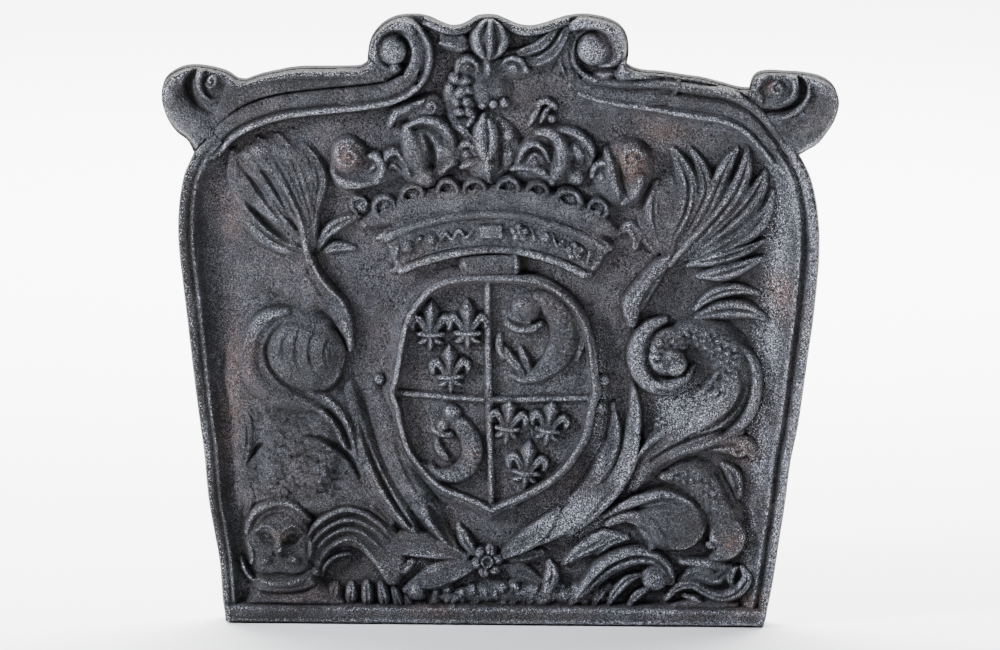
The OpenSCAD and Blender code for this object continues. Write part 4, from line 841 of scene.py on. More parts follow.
strike(work, [(754, 97, 5, 12), (756, 84, 8, 16), (764, 75, 9, 17.5), (776, 72, 10, 18), (788, 77, 10, 18),
    (792, 88, 9, 17), (787, 99, 8, 15), (776, 104, 6, 13)], blend=1.4)
curl(work, 775, 89, 22, 7, 17, 1.2, 90, 9, lift=2.5)
groove(work, [(762, 92, 3, 3), (764, 84, 3.5, 4), (772, 79, 3.5, 4.5), (782, 82, 3.5, 4.5), (785, 91, 3.5, 4),
    (779, 98, 3, 3)])
member("ear_eye_right", work, border_iron, "border_iron")


# ---- Crest bud, its leaves and the finial ----
# The middle of the crest: a ribbed bud between bent leaves, and under it a lozenge,
# two rolled curls and a stalk, all cut in the round on the crown's axis.
def flat(u, *_):
    return 1 - np.clip(np.abs(u), 0, 1) ** 8


crown_iron = iron("Carved iron", (0.017, 0.0173, 0.0206), (0.1, 0.104, 0.122), 0.55, 0.65, 0.5)
bud = blank()
heap_up(bud, [(490, 17.5), (504, 25), (511, 40), (505, 54), (495, 61), (482, 60), (472, 53), (468, 40),
    (475, 26)], 13, 12)
boss(bud, 490, 40, 38, 17, 1.12, 90, swell, blend=4)
strike(bud, [(486, 60, 8, 12), (480, 51, 14, 16.5), (477, 39, 15, 18), (481, 28, 11, 16), (488, 20, 5, 12)])
strike(bud, [(489, 60, 7, 13), (490, 50, 10, 18), (490, 38, 11, 19.5), (490, 27, 8, 17.5),
    (490, 20, 4, 12)], blend=1.2)
strike(bud, [(492, 59, 7, 12), (500, 51, 12, 16), (503, 40, 13, 16.5), (500, 29, 9, 15),
    (492, 21, 4, 12)], blend=1.4)
groove(bud, [(486, 25, 2, 1.5), (484.5, 38, 2.6, 2.4), (485, 50, 2.6, 2.2), (487, 57, 2, 1)])
groove(bud, [(493, 25, 2.4, 2), (496.5, 38, 3, 3.6), (496, 50, 3, 3.2), (493, 57, 2, 1.5)])
leaves = blank()
heap_up(leaves, [(441, 33), (452, 35), (464, 33), (470, 40), (470, 50), (462, 56), (450, 53),
    (440, 47)], 9, 10)
heap_up(leaves, [(504, 60), (507, 50), (524, 51), (538, 46), (547, 37), (554, 27), (566, 24), (571, 31),
    (566, 45), (558, 60), (544, 67), (522, 66)], 6, 7)
for run in ([(504, 56, 5, 7), (521, 53.5, 8, 12), (538, 48, 10, 13.5), (549, 38, 9, 13), (556, 28, 5, 10)],
        [(518, 65, 4, 6), (538, 62, 10, 12), (552, 54, 12, 14), (561, 42, 10, 14.5), (567, 30, 6, 12)]):
    strike(leaves, run, dished)
groove(leaves, [(520, 58, 3, 2), (538, 54, 3.5, 4), (550, 46, 4, 5), (558, 34, 4, 5), (562, 27, 3, 3)])
strike(leaves, [(440, 44, 6, 7), (451, 46, 12, 11), (465, 49, 7, 8)], swell)
groove(leaves, [(447, 53, 3, 2), (457, 56, 4, 4), (467, 52, 4, 4)])
finial = blank()
heap_up(finial, [(455, 62), (470, 56), (488, 58), (508, 57), (526, 62), (530, 74), (520, 80), (503, 80),
    (499, 98), (476, 99), (470, 92), (462, 99), (455, 112), (464, 124), (452, 126), (446, 110), (443, 92),
    (447, 80), (457, 78)], 6, 9)
strike(finial, [(488, 58, 7, 9), (488, 68, 17, 15), (488, 79, 6, 9)], keeled)
strike(finial, [(484, 79, 14, 9), (482, 88, 25, 12), (483, 98, 22, 10)], blend=2.5)
boss(finial, 466, 68, 22, 10, form=swell)
strike(finial, [(458, 74, 5, 8), (459, 65, 8, 11), (467, 60, 9, 12.5), (476, 64, 8, 12), (478, 71, 6, 10)])
strike(finial, [(464, 70, 4, 9.5), (468, 66, 5, 12), (473, 69, 4, 10)], blend=0.8)
boss(finial, 514, 69, 22, 9.5, form=swell)
strike(finial, [(502, 64, 5, 8), (510, 59, 8, 12), (521, 62, 8, 12), (526, 71, 7, 10)])
strike(finial, [(508, 70, 4, 9), (513, 66, 5, 11.5), (518, 70, 4, 9.5)], blend=0.8)
boss(finial, 492, 88, 40, 9, 0.8, form=swell, blend=3)
for x, y, w, r, long, slant in ((456, 80, 13, 13, 1.3, 60), (465, 82, 12, 14.5, 1.4, 100),
        (451, 90, 13, 13, 1.2, 30), (461, 93, 14, 15, 1.3, 120), (469, 91, 10, 14, 1.4, 70),
        (456, 102, 12, 13, 1.3, 20), (467, 102, 12, 14, 1.2, 140), (459, 112, 11, 13.5, 1.4, 80),
        (469, 112, 11, 13, 1.2, 10)):
    boss(finial, x, y, w, r, long, slant, blend=0.9)
strike(finial, [(474, 112, 5, 8), (472, 120, 8, 11), (466, 127, 7, 9)], blend=1.0)
leafy = [(389, 126), (393, 112), (406, 104), (420, 96), (436, 93), (445, 103), (441, 117),
    (426, 121), (408, 119)]
heap_up(finial, leafy, 7, 8)
strike(finial, [(391, 125, 7, 9), (397, 114, 15, 12), (410, 108, 17, 12), (424, 101, 10, 10)], swell)
boss(finial, 415, 116, 16, 9)
curl(finial, 431, 107, 20, 7, 11, 1.25, 220, 8, lift=2)
strike(finial, [(529, 125, 4, 6), (534, 116, 7, 11), (539, 108, 4, 8)], ribbed)
strike(finial, [(540, 122, 4, 6), (544, 114, 7, 11), (548, 108, 4, 8)], ribbed)
strike(finial, [(537, 105, 6, 8), (546, 101, 8, 10), (554, 107, 7, 8)], ribbed)
boss(finial, 551, 118, 11, 8)
for work, node in ((bud, "crest_bud"), (leaves, "crest_leaves"), (finial, "crown_finial")):
    member(node, work, crown_iron, "carved_iron")


# ---- Crown pearls and arches ----
# Small turned ornaments pressed into the mould one beside the next: four pearls above
# the middle fleuron, and hooded knobs that stand in a row of arches on the circlet.
def scatter(name, tree, spots, seat=0.0, **sizes):
    """Sets a tree's ornament on drawn points (x, y, across, length, rise, turn in degrees)."""
    mesh = bpy.data.meshes.new(name)
    where = [sheet(x, y, rise + seat) for x, y, across, length, rise, turn in spots]
    mesh.from_pydata([(x / 1000, z / 1000, (seat - 0.5) / 1000) for x, z in where], [], [])
    for label, sort in (("size", "FLOAT_VECTOR"), ("turn", "FLOAT")):
        mesh.attributes.new(label, sort, "POINT")
    for k, spot in enumerate(spots):
        mesh.attributes["size"].data[k].vector = (spot[2] / 1000, spot[3] / 1000, spot[4] / 1000)
        mesh.attributes["turn"].data[k].value = math.radians(spot[5])
    holder = bpy.data.objects.new(name, mesh)
    bpy.context.scene.collection.objects.link(holder)
    for x, y, across, length, rise, turn in spots:
        work = blank()
        boss(work, x, y, across, rise, length / across, turn, seat=seat)
        face[:] = np.maximum(face, work - 0.3)
    return grown(name, holder, tree, **sizes)


def ornament_tree(name, make):
    """A tree that sets one ornament, one unit across, on every point at the point's size and turn."""
    tree, gi, go = group(name, "GeometryNodeTree", [("Places", "Geometry"), ("Unevenness", "Float", 0.001),
        ("Seed", "Float", 1.0), ("Iron", "Material")],
        [("Ornaments", "Geometry")])
    size = put(tree, "GeometryNodeInputNamedAttribute", _data_type="FLOAT_VECTOR", Name="size").outputs[0]
    turn = put(tree, "GeometryNodeInputNamedAttribute", _data_type="FLOAT", Name="turn").outputs[0]
    set_out = put(tree, "GeometryNodeInstanceOnPoints", Points=gi.outputs["Places"], Instance=make(tree),
        Scale=size, Rotation=put(tree, "ShaderNodeCombineXYZ", Z=turn).outputs["Vector"])
    real = put(tree, "GeometryNodeRealizeInstances", Geometry=set_out.outputs["Instances"])
    worn = uneven(tree, real.outputs["Geometry"], gi.outputs["Unevenness"], gi.outputs["Seed"])
    tree.links.new(upright(tree, worn, gi.outputs["Iron"]), go.inputs["Ornaments"])
    return tree


def pearl(tree):
    ball = put(tree, "GeometryNodeMeshIcoSphere", Radius=0.5, Subdivisions=4).outputs["Mesh"]
    return put(tree, "GeometryNodeTransform", Geometry=ball, Scale=(1, 1, 2)).outputs["Geometry"]


def arch(tree):
    """A hood bent round a drum and open below, one unit high."""
    bend = put(tree, "GeometryNodeCurveArc", _mode="RADIUS", Resolution=22, Radius=0.37,
        Start_Angle=math.radians(-38), Sweep_Angle=math.radians(256)).outputs["Curve"]
    bend = put(tree, "GeometryNodeSetCurveNormal", _mode="Z_UP", Curve=bend).outputs["Curve"]
    wire = put(tree, "GeometryNodeCurvePrimitiveCircle", Resolution=14, Radius=0.135).outputs["Curve"]
    wire = put(tree, "GeometryNodeTransform", Geometry=wire, Scale=(1, 7.0, 1)).outputs["Geometry"]
    ring = put(tree, "GeometryNodeCurveToMesh", Curve=bend, Profile_Curve=wire,
        Fill_Caps=True).outputs["Mesh"]
    drum = put(tree, "GeometryNodeMeshIcoSphere", Radius=0.5, Subdivisions=4).outputs["Mesh"]
    drum = put(tree, "GeometryNodeTransform", Geometry=drum, Scale=(0.8, 0.8, 1.4),
        Translation=(0.03, -0.06, 0)).outputs["Geometry"]
    both = put(tree, "GeometryNodeJoinGeometry")
    tree.links.new(ring, both.inputs[0])
    tree.links.new(drum, both.inputs[0])
    return both.outputs[0]


pearls = scatter("crown_pearls_cast", ornament_tree("Pearl", pearl),
    [(470, 104, 11, 11.5, 10, 0), (482, 104.5, 11, 11, 10, 0), (493, 104, 10.5, 11, 10, 0),
        (504, 103, 11, 11, 9.5, 0)], Iron=crown_iron, Seed=3.0)
settle(pearls, "crown_pearls", crown_iron)
arches = scatter("crown_arches_cast", ornament_tree("Arch", arch),
    [(385, 206, 28, 26, 13, 30), (413, 195, 28, 25, 13, 18), (448, 190, 26, 26, 13, 6),
        (475, 189, 27, 25, 13, 2), (508, 188, 27, 27, 13, -4), (537, 192, 27, 26, 13, -12),
        (568, 200, 32, 27, 14, -24), (597, 208, 25, 23, 12, -30), (360, 204, 20, 22, 10, 40)],
    Iron=crown_iron, Seed=4.0, Unevenness=0.0016)
settle(arches, "crown_arches", crown_iron)


# ---- Crown fleurons and end knobs ----
# The crown's tall leaves, carved in three lobes each, with a rolled knob at either end.
middle = blank()
heap_up(middle, [(452, 122), (470, 116), (488, 112), (503, 118), (515, 128), (521, 144), (515, 160),
    (504, 174), (496, 184), (478, 184), (470, 172), (458, 160), (452, 140)], 6, 12)
strike(middle, [(484, 117, 9, 10), (481, 130, 17, 16), (481, 145, 17, 17), (485, 158, 9, 12)], blend=2.4)
strike(middle, [(489, 120, 7, 11), (492, 132, 12, 15), (492, 147, 11, 15), (488, 158, 8, 12)], blend=1.2)
strike(middle, [(487, 156, 9, 11), (487, 167, 27, 15.5), (489, 180, 12, 10)], keeled, blend=2.4)
strike(middle, [(457, 156, 6, 9), (461, 146, 9, 13), (470, 144, 9, 14), (475, 153, 7, 11)])
boss(middle, 466, 153, 13, 12)
strike(middle, [(453, 126, 6, 8), (462, 129, 10, 12), (470, 137, 9, 11), (474, 145, 6, 9)], ribbed)
strike(middle, [(462, 166, 7, 7), (470, 163, 11, 9), (478, 160, 6, 8)])
boss(middle, 507, 135, 16, 9)
boss(middle, 508, 152, 13, 8, 1.4)
groove(middle, [(498, 122, 5, 5), (500, 136, 6, 6), (500, 150, 6, 6), (500, 164, 5, 4)])
left = blank()
boss(left, 430, 146, 50, 14, 1.3, 80, swell, blend=3)
heap_up(left, [(399, 132), (408, 123), (424, 116), (442, 121), (454, 132), (459, 152), (452, 168), (441, 181),
    (428, 190), (413, 187), (402, 175), (388, 171), (382, 160), (392, 149), (401, 149)], 6, 12)
strike(left, [(407, 128, 10, 10), (412, 142, 24, 16), (417, 157, 29, 16.5), (421, 170, 17, 12)], blend=2.6)
strike(left, [(407, 127, 6, 11), (420, 121, 13, 14.5), (436, 123, 16, 15), (448, 133, 17, 14.5),
    (453, 147, 15, 12), (453, 160, 9, 8)], swell, blend=4)
groove(left, [(414, 128, 3, 1.5), (428, 128, 3.5, 2.5), (441, 134, 3.5, 2.5), (447, 146, 3, 1.5)])
boss(left, 446, 150, 30, 15, 1.4, 84, swell, blend=4)
groove(left, [(427, 134, 5, 4), (432, 147, 9, 9), (433, 160, 8, 7), (430, 172, 5, 4)])
strike(left, [(384, 166, 6, 8), (388, 155, 9, 13), (397, 152, 9, 14), (405, 161, 9, 13), (410, 173, 7, 9)])
strike(left, [(389, 172, 4, 7), (392, 164, 6, 10), (399, 168, 5, 9)], blend=1.0)
boss(left, 425, 177, 27, 13, 0.9, -20)
strike(left, [(442, 172, 8, 8), (447, 165, 10, 10), (455, 162, 6, 8)])
right = blank()
heap_up(right, [(516, 145), (527, 136), (546, 129), (565, 126), (582, 132), (593, 143), (594, 158),
    (588, 172), (575, 182), (556, 186), (538, 181), (520, 176), (513, 162)], 6, 12)
strike(right, [(536, 133, 7, 9), (549, 134, 13, 15), (559, 142, 16, 17), (561, 156, 19, 17),
    (557, 170, 17, 14), (551, 182, 9, 9)], blend=2.4)
groove(right, [(548, 140, 3, 2.5), (555, 150, 4, 3.5), (556, 162, 3, 2)])
strike(right, [(556, 130, 6, 9), (571, 132, 10, 13), (584, 140, 11, 13.5), (591, 152, 9, 11),
    (590, 164, 5, 7)])
boss(right, 577, 152, 26, 14.5, 1.5, 70, swell, blend=3)
groove(right, [(568, 142, 4, 2.5), (573, 154, 5, 4), (571, 166, 4, 3)])
groove(right, [(580, 144, 3, 2), (585, 154, 3.5, 3.5), (583, 165, 3, 2)])
strike(right, [(518, 161, 6, 8), (523, 150, 8, 13), (533, 144, 9, 14.5), (543, 149, 8, 14),
    (548, 160, 7, 11)])
boss(right, 534, 160, 20, 12.5, 1.1, 30, swell, blend=2)
strike(right, [(527, 163, 4, 10), (532, 155, 5, 14), (539, 155, 5, 14), (543, 163, 4, 11)], blend=1.0)
strike(right, [(512, 168, 6, 7), (526, 167, 10, 11), (542, 172, 12, 12), (552, 180, 8, 9)])
boss(right, 575, 176, 20, 10)
knob_left = blank()
heap_up(knob_left, [(333, 150), (341, 139), (354, 138), (366, 146), (378, 152), (390, 164), (402, 172),
    (392, 180), (370, 188), (345, 192), (334, 182), (331, 166)], 7, 11)
boss(knob_left, 350, 156, 37, 16, 1.08, 20, blunt)
curl(knob_left, 350, 156, 31, 9, 17, 1.35, 160, 10, lift=2.5)
strike(knob_left, [(334, 170, 9, 9), (343, 181, 17, 14), (358, 184, 16, 13), (374, 181, 8, 9)], swell)
strike(knob_left, [(366, 156, 6, 10), (377, 157, 11, 14), (383, 168, 13, 14), (377, 180, 10, 11)])
strike(knob_left, [(369, 172, 6, 9), (375, 166, 8, 12)], blend=1.0)
groove(knob_left, [(338, 190, 3, 2), (352, 189, 4, 4), (370, 187, 4, 4), (392, 180, 3, 2)])
knob_right = blank()
heap_up(knob_right, [(606, 146), (618, 140), (634, 139), (648, 148), (652, 166), (646, 188), (634, 203),
    (619, 206), (606, 201), (594, 186), (590, 170), (598, 158)], 8, 12)
boss(knob_right, 631, 160, 37, 16, 1.12, 0, blunt)
curl(knob_right, 631, 159, 32, 9, 17, 1.3, 20, 10, lift=2.5)
strike(knob_right, [(605, 149, 7, 10), (609, 163, 14, 15), (612, 179, 15, 15), (618, 196, 10, 10)], blend=2.4)
strike(knob_right, [(591, 176, 6, 9), (594, 166, 8, 13), (603, 163, 8, 13.5), (609, 172, 7, 12)])
boss(knob_right, 600, 176, 12, 11)
strike(knob_right, [(640, 176, 13, 14), (634, 190, 17, 13), (622, 202, 9, 9)], swell)
groove(knob_right, [(617, 150, 3, 3), (619, 166, 4, 4), (622, 184, 4, 4), (628, 196, 3, 2)])
for work, node in ((middle, "fleuron_middle"), (left, "fleuron_left"), (right, "fleuron_right"),
        (knob_left, "crown_knob_left"), (knob_right, "crown_knob_right")):
    member(node, work, crown_iron, "carved_iron")


# ---- Circlet ----
# The crown's arched band, planed flat, with a bead let in along each edge and a row
# of cut lozenges, florets and one plaque between the beads.
BAND_TOP = 9.5       # the jewels stand on the band, this high above the ground
circlet = blank()
heap_up(circlet, [(383, 229), (400, 221), (424, 213), (452, 207), (490, 204.5), (522, 206), (550, 213),
    (580, 224), (610, 240), (606, 252), (592, 271), (570, 262), (545, 254), (520, 249), (490, 247),
    (460, 249), (436, 254), (415, 261), (398, 269), (389, 250)], 10, 5)
strike(circlet, [(366, 222, 12, 5), (388, 214, 26, 10.5), (418, 205, 30, 12), (450, 200, 30, 12.5),
    (490, 198, 30, 12.5), (530, 200, 30, 12.5), (562, 208, 30, 12), (592, 220, 26, 10.5),
    (615, 232, 12, 5)], blunt, 2.4)
for x, y in ((385, 208), (413, 198), (448, 193), (475, 191), (508, 191), (537, 195), (568, 203), (597, 210)):
    boss(circlet, x, y, 19, 10.5, form=swell)
band = cast("circlet_cast", circlet, 1.0)
round_cut = moulding_tree("Round bead", [(0, -0.1), (0.06, 0.42), (0.2, 0.8), (0.35, 0.97), (0.5, 1.0),
    (0.65, 0.97), (0.8, 0.8), (0.94, 0.42), (1, -0.1)])
ROUND = [(0, 0), (0.2, 0.8), (0.5, 1.0), (0.8, 0.8), (1, 0)]
beads = moulding("circlet_beads_cast",
    [[(384, 232.5, 0.95), (400, 225.5, 1), (420, 218.5, 1), (450, 211.5, 1), (490, 208.5, 1), (520, 210.5, 1),
        (550, 218, 1), (578, 228, 1), (605, 243, 0.95)],
        [(397, 266, 0.8), (420, 257, 0.85), (440, 251, 0.85), (460, 247, 0.85), (490, 244, 0.85),
            (520, 246, 0.85), (545, 252, 0.85), (565, 259, 0.85), (586, 270, 0.8)]], 10.0, 4.6, round_cut,
    ROUND, crown_iron, 41, 9.0, Spacing=0.003, Unevenness=0.0012)


def cut_stone(u, *_):
    """A point with nearly straight sides, as a cut stone."""
    return np.clip(1 - np.abs(u), 0, 1) ** 0.6


jewels = blank()
for x, y, w, turn in ((408, 246, 15, 25), (431, 238, 15, 16), (545, 236, 12, -14)):
    boss(jewels, x, y, w, 6.6, 1.0, turn + 45, form=cut_stone, seat=BAND_TOP)
for x, y, w in ((519, 231.5, 19), (574, 250, 19)):
    for k in range(5):
        a = math.radians(72 * k + 18)
        boss(jewels, x + 0.3 * w * math.cos(a), y - 0.3 * w * math.sin(a), w * 0.44, 6.4,
            seat=BAND_TOP, blend=0.8)
    boss(jewels, x, y, w * 0.34, 7, seat=BAND_TOP, blend=0.8)
strike(jewels, [(479, 230.5, 15, 5.4), (503, 230.5, 15, 5.4)], flat, seat=BAND_TOP, square=True)
for run in ([(417, 243, 3, 3), (420, 236, 4.4, 4.6), (424, 241, 3, 3)],
        [(440, 241, 3, 3), (446, 232, 4.6, 4.8), (452, 238, 4.6, 4.8), (459, 229, 4.6, 4.8),
            (466, 236, 4.4, 4.6), (473, 229, 3, 3)], [(552, 232, 3, 3), (556, 244, 4.6, 4.8),
            (563, 240, 4, 4)],
        [(531, 227, 3, 3), (534, 238, 4.4, 4.4)], [(586, 262, 3, 3), (589, 250, 4.4, 4.4)],
        [(396, 257, 3, 3), (398, 246, 4.4, 4.4)]):
    strike(jewels, run, seat=BAND_TOP, blend=0.8)
jewel_row = cast("circlet_jewels_cast", jewels, 0.6, 1.2, 0.6)
for piece, node in ((band, "circlet"), (beads, "circlet_beads"), (jewel_row, "circlet_jewels")):
    settle(piece, node, crown_iron)


# ---- Shield ----
# A raised oval field with a bead round it, quartered by two narrow bars and held to
# the circlet by a low clasp; three small studs are cast on beside the rim.
FIELD = 7.0
shield_iron = iron("Shield iron", (0.019, 0.0192, 0.0225), (0.09, 0.093, 0.108), 0.6, 0.65, 0.5)
SHIELD = [(491, 512), (478, 505), (460, 497.5), (440, 489), (424, 475), (411, 459), (403, 446), (397, 425),
    (393, 405), (388, 390), (392, 375), (396, 353), (399, 335), (404, 316), (414, 299), (428, 284),
    (447, 275), (468, 272), (492, 271.5), (518, 272), (542, 276), (562, 287), (578, 303), (588, 322),
    (593, 342), (596, 365), (599, 388), (595, 402), (592, 415), (588, 434), (580, 449), (570, 464),
    (557, 477), (540, 489), (520, 499), (503, 506), (491, 512)]
ring = flow([(x, y, 0, FIELD) for x, y in SHIELD])[:, :2]
work = blank()
where, deep = area(SHIELD[:-1], FIELD)
fall = np.where(gx[None, where[1]] < 20, 1.3, 4.5)       # a long soft slope left, a sharp drop right
work[where] = np.where(deep > 0, FIELD - 2 + 5.5 * (1 - np.clip(deep / 15, 0, 1)) ** 1.6,
    np.maximum(FIELD + 3.5 + deep * fall, LOW))
field = cast("shield_field_cast", work)
HEART = (493, 391)       # the middle of the shield on the drawing
heart = np.array(sheet(*HEART, FIELD))
inset = ring - heart
inset = heart + inset * (1 - 0.8 / np.hypot(*inset.T))[:, None]
rim_way = np.column_stack([inset[::-1], -np.ones(len(inset)), np.ones(len(inset))])
rim = grown("shield_rim_cast", drawn_way("rim", [rim_way[:-1]], True), round_cut, Width=0.0085, Rise=-0.0092,
    Seat=(FIELD + 1.0) / 1000, Seed=51.0, Iron=shield_iron, Spacing=0.003, Unevenness=0.0012)
strike(face, [(HEART[0] + 0.965 * (x - HEART[0]), HEART[1] + 0.965 * (y - HEART[1]), 8, 15.5)
    for x, y in SHIELD], swell)
bars = blank()
strike(bars, [(487.5, 276, 7, 5), (488.5, 390, 8, 5.5), (491.5, 505, 7, 5)], seat=FIELD - 1, slope=3)
strike(bars, [(393, 390, 7, 4.6), (440, 394, 7, 4.6), (490, 397.5, 7.5, 5), (540, 397, 7, 4.6),
    (594, 395.5, 7, 4.6)], seat=FIELD - 1, slope=3)
for x, y in ((380, 378), (603, 378), (600, 405)):
    boss(bars, x, y, 13, 9)
clasp = blank()
heap_up(clasp, [(459, 257), (466, 252), (500, 251), (517, 252), (519, 274), (488, 277), (464, 276),
    (459, 268)], 9.5, 7, blend=3)
boss(clasp, 465, 264, 15, 11.5, form=swell, blend=3)
strike(clasp, [(515.5, 254, 6, 12), (516.5, 264, 7, 14), (516, 273, 6, 11)], blend=2)
for work, node, fillet in ((bars, "shield_bars", 1.5), (clasp, "shield_clasp", 2.0)):
    member(node, work, shield_iron, "shield_iron", 0.8, fillet)
for piece, node in ((field, "shield_field"), (rim, "shield_rim")):
    settle(piece, node, shield_iron)


# ---- Lilies of the quarters ----
# Three in the upper left and three in the lower right quarter, each cut by hand with a
# keeled middle leaf, two leaves turned down, a tie and a split foot.
def lily(relief, x, y, tall, lean):
    """A lily tall mm high about (x, y), leaning by so many degrees."""
    a = math.radians(lean)

    def at(u, v):
        return x + tall * (u * math.cos(a) + v * math.sin(a)), y + tall * (u * math.sin(a) - v * math.cos(a))

    strike(relief, [(*at(0, -0.16), 0.16 * tall, 5), (*at(0, 0.06), 0.28 * tall, 9),
        (*at(0, 0.26), 0.34 * tall, 10), (*at(0, 0.4), 0.2 * tall, 8), (*at(0, 0.52), 0.05 * tall, 3)],
        keeled, seat=FIELD, blend=1.0)
    for m in (-1, 1):
        strike(relief, [(*at(0.08 * m, -0.16), 0.13 * tall, 5), (*at(0.17 * m, 0.02), 0.18 * tall, 7.5),
            (*at(0.29 * m, 0.13), 0.19 * tall, 8.5), (*at(0.39 * m, 0.06), 0.18 * tall, 8),
            (*at(0.38 * m, -0.07), 0.1 * tall, 5)], ribbed, seat=FIELD, blend=1.0)
        strike(relief, [(*at(0.05 * m, -0.24), 0.11 * tall, 6), (*at(0.15 * m, -0.34), 0.13 * tall, 6.5),
            (*at(0.24 * m, -0.37), 0.06 * tall, 4)], seat=FIELD, blend=1.0)
    strike(relief, [(*at(0, -0.2), 0.15 * tall, 7), (*at(0, -0.36), 0.18 * tall, 8),
        (*at(0, -0.52), 0.05 * tall, 3)], keeled, seat=FIELD, blend=1.0)
    strike(relief, [(*at(-0.24, -0.2), 0.11 * tall, 8), (*at(0, -0.215), 0.12 * tall, 9.5),
        (*at(0.24, -0.2), 0.11 * tall, 8)], seat=FIELD, blend=1.0)


lily_iron = iron("Lily iron", (0.018, 0.0186, 0.022), (0.094, 0.099, 0.115), 0.5, 0.65, 0.45)
for node, stands in (("lilies_upper", ((431, 323, 48, 1), (467.5, 322, 47, 0), (450, 366, 45, -2))),
        ("lilies_lower", ((508, 418, 44, 6), (549, 420, 44, 9), (527, 462, 46, 7)))):
    work = blank()
    for stand in stands:
        lily(work, *stand)
    member(node, work, lily_iron, "shield_iron", 0.55, 1.2, 0.8)


# ---- Small dolphins of the quarters ----
# Each a round-headed fish bent about a half circle, mouth and gill cut in, a fin at the
# back, the tail forked under the chin.
SCALES_SMALL = scaly(5.0, 0.22)
upper_fish = blank()
strike(upper_fish, [(528, 298, 12, 6), (546, 302, 22, 8), (561, 318, 27, 9.5), (564, 338, 28, 10),
    (555, 358, 24, 9), (540, 371, 17, 7.5), (524, 377, 10, 5.5), (512, 374, 5, 4)], SCALES_SMALL, seat=FIELD)
boss(upper_fish, 526, 307, 29, 9, 0.95, seat=FIELD)
strike(upper_fish, [(507, 322, 6, 4), (517, 327, 8, 6), (530, 327, 9, 6.5), (540, 322, 6, 5)], seat=FIELD)
strike(upper_fish, [(512, 314, 6, 4), (517, 318, 7, 6), (528, 320, 7, 6)], seat=FIELD)
strike(upper_fish, [(566, 306, 5, 4), (577, 318, 9, 6), (582, 338, 9, 6), (576, 356, 6, 4)],
    ribbed, seat=FIELD)
strike(upper_fish, [(505, 346, 5, 4), (510, 356, 10, 6), (519, 366, 9, 6), (524, 376, 6, 5)],
    ribbed, seat=FIELD)
strike(upper_fish, [(521, 346, 4, 3), (524, 356, 9, 5), (529, 368, 7, 5)], ribbed, seat=FIELD)
boss(upper_fish, 520, 303, 7, 10.5, seat=FIELD, blend=0.8)
groove(upper_fish, [(520, 293, 2.5, 2), (536, 296, 3, 2.5), (541, 308, 3, 2.5), (537, 320, 2.5, 2)])
strike(upper_fish, [(500, 334, 6, 4), (499, 345, 8, 6), (503, 356, 5, 4)], seat=FIELD)
lower_fish = blank()
strike(lower_fish, [(447, 418, 13, 6), (461, 424, 18, 8), (471, 440, 20, 9.5), (471, 457, 20, 10),
    (461, 470, 19, 9.5), (446, 474, 14, 8), (435, 469, 8, 6), (431, 461, 4, 3)], SCALES_SMALL, seat=FIELD)
boss(lower_fish, 452, 411, 18, 9, 0.9, seat=FIELD)
boss(lower_fish, 443, 423, 14, 8, 0.9, seat=FIELD)
strike(lower_fish, [(434, 428, 5, 4), (442, 432, 7, 6), (451, 432, 6, 5)], seat=FIELD)
strike(lower_fish, [(437, 438, 5, 4), (439, 447, 9, 6), (446, 456, 7, 5)], ribbed, seat=FIELD)
strike(lower_fish, [(423, 464, 9, 5), (431, 470, 12, 7), (439, 476, 8, 5)], ribbed, seat=FIELD)
boss(lower_fish, 424, 466, 13, 6, seat=FIELD)
groove(lower_fish, [(447, 416, 2, 1.5), (455, 425, 2.5, 2), (453, 436, 2.5, 2)])
groove(lower_fish, [(462, 462, 2, 1.6), (454, 466, 2, 1.6), (448, 463, 2, 1)])
for work, node in ((upper_fish, "small_dolphin_upper"), (lower_fish, "small_dolphin_lower")):
    member(node, work, lily_iron, "shield_iron", 0.6, 1.5, 0.9)


# ---- Left dolphin: plume, tail and coil ----
# A supporter to the arms, head down: a plume of long veined leaves at the top, a tail
# that bends down from it, and a coil as flat as a drum where the tail turns in.
dolphin_iron = iron("Dolphin iron", (0.0165, 0.0168, 0.0198), (0.088, 0.091, 0.106), 0.6, 0.7, 0.55)


def scales(relief, shape, pitch, slant, deep, seed):
    """Cuts rows of small open arcs over a drawn shape, no two quite alike, as a fish's scales."""
    rng = np.random.default_rng(seed)
    a = math.radians(slant)
    ux, uy = (math.cos(a), math.sin(a)), (-math.sin(a), math.cos(a))
    spots = np.array(shape, float)
    ring = np.vstack([spots, spots[:1]])
    cx, cy = spots.mean(0)
    far = int(np.hypot(*(spots - (cx, cy)).T).max() / pitch) + 2

    def at(u, v):
        return cx + u * ux[0] + v * uy[0], cy + u * ux[1] + v * uy[1]

    for row in range(-far, far + 1):
        for n in range(-far, far + 1):
            u = (n + 0.5 * (row % 2)) * pitch + rng.normal(0, 0.08) * pitch
            v = row * pitch * 0.78 + rng.normal(0, 0.08) * pitch
            much = deep * rng.uniform(0.5, 1.25)
            if within(ring, *at(u, v)):
                h = 0.5 * pitch
                groove(relief, [(*at(u - h, v - 0.3 * h), 1.4, 0.3 * much),
                    (*at(u - 0.75 * h, v + 0.5 * h), 2.4, much), (*at(u, v + 0.95 * h), 2.8, much),
                    (*at(u + 0.75 * h, v + 0.5 * h), 2.4, much), (*at(u + h, v - 0.3 * h), 1.4, 0.3 * much)])


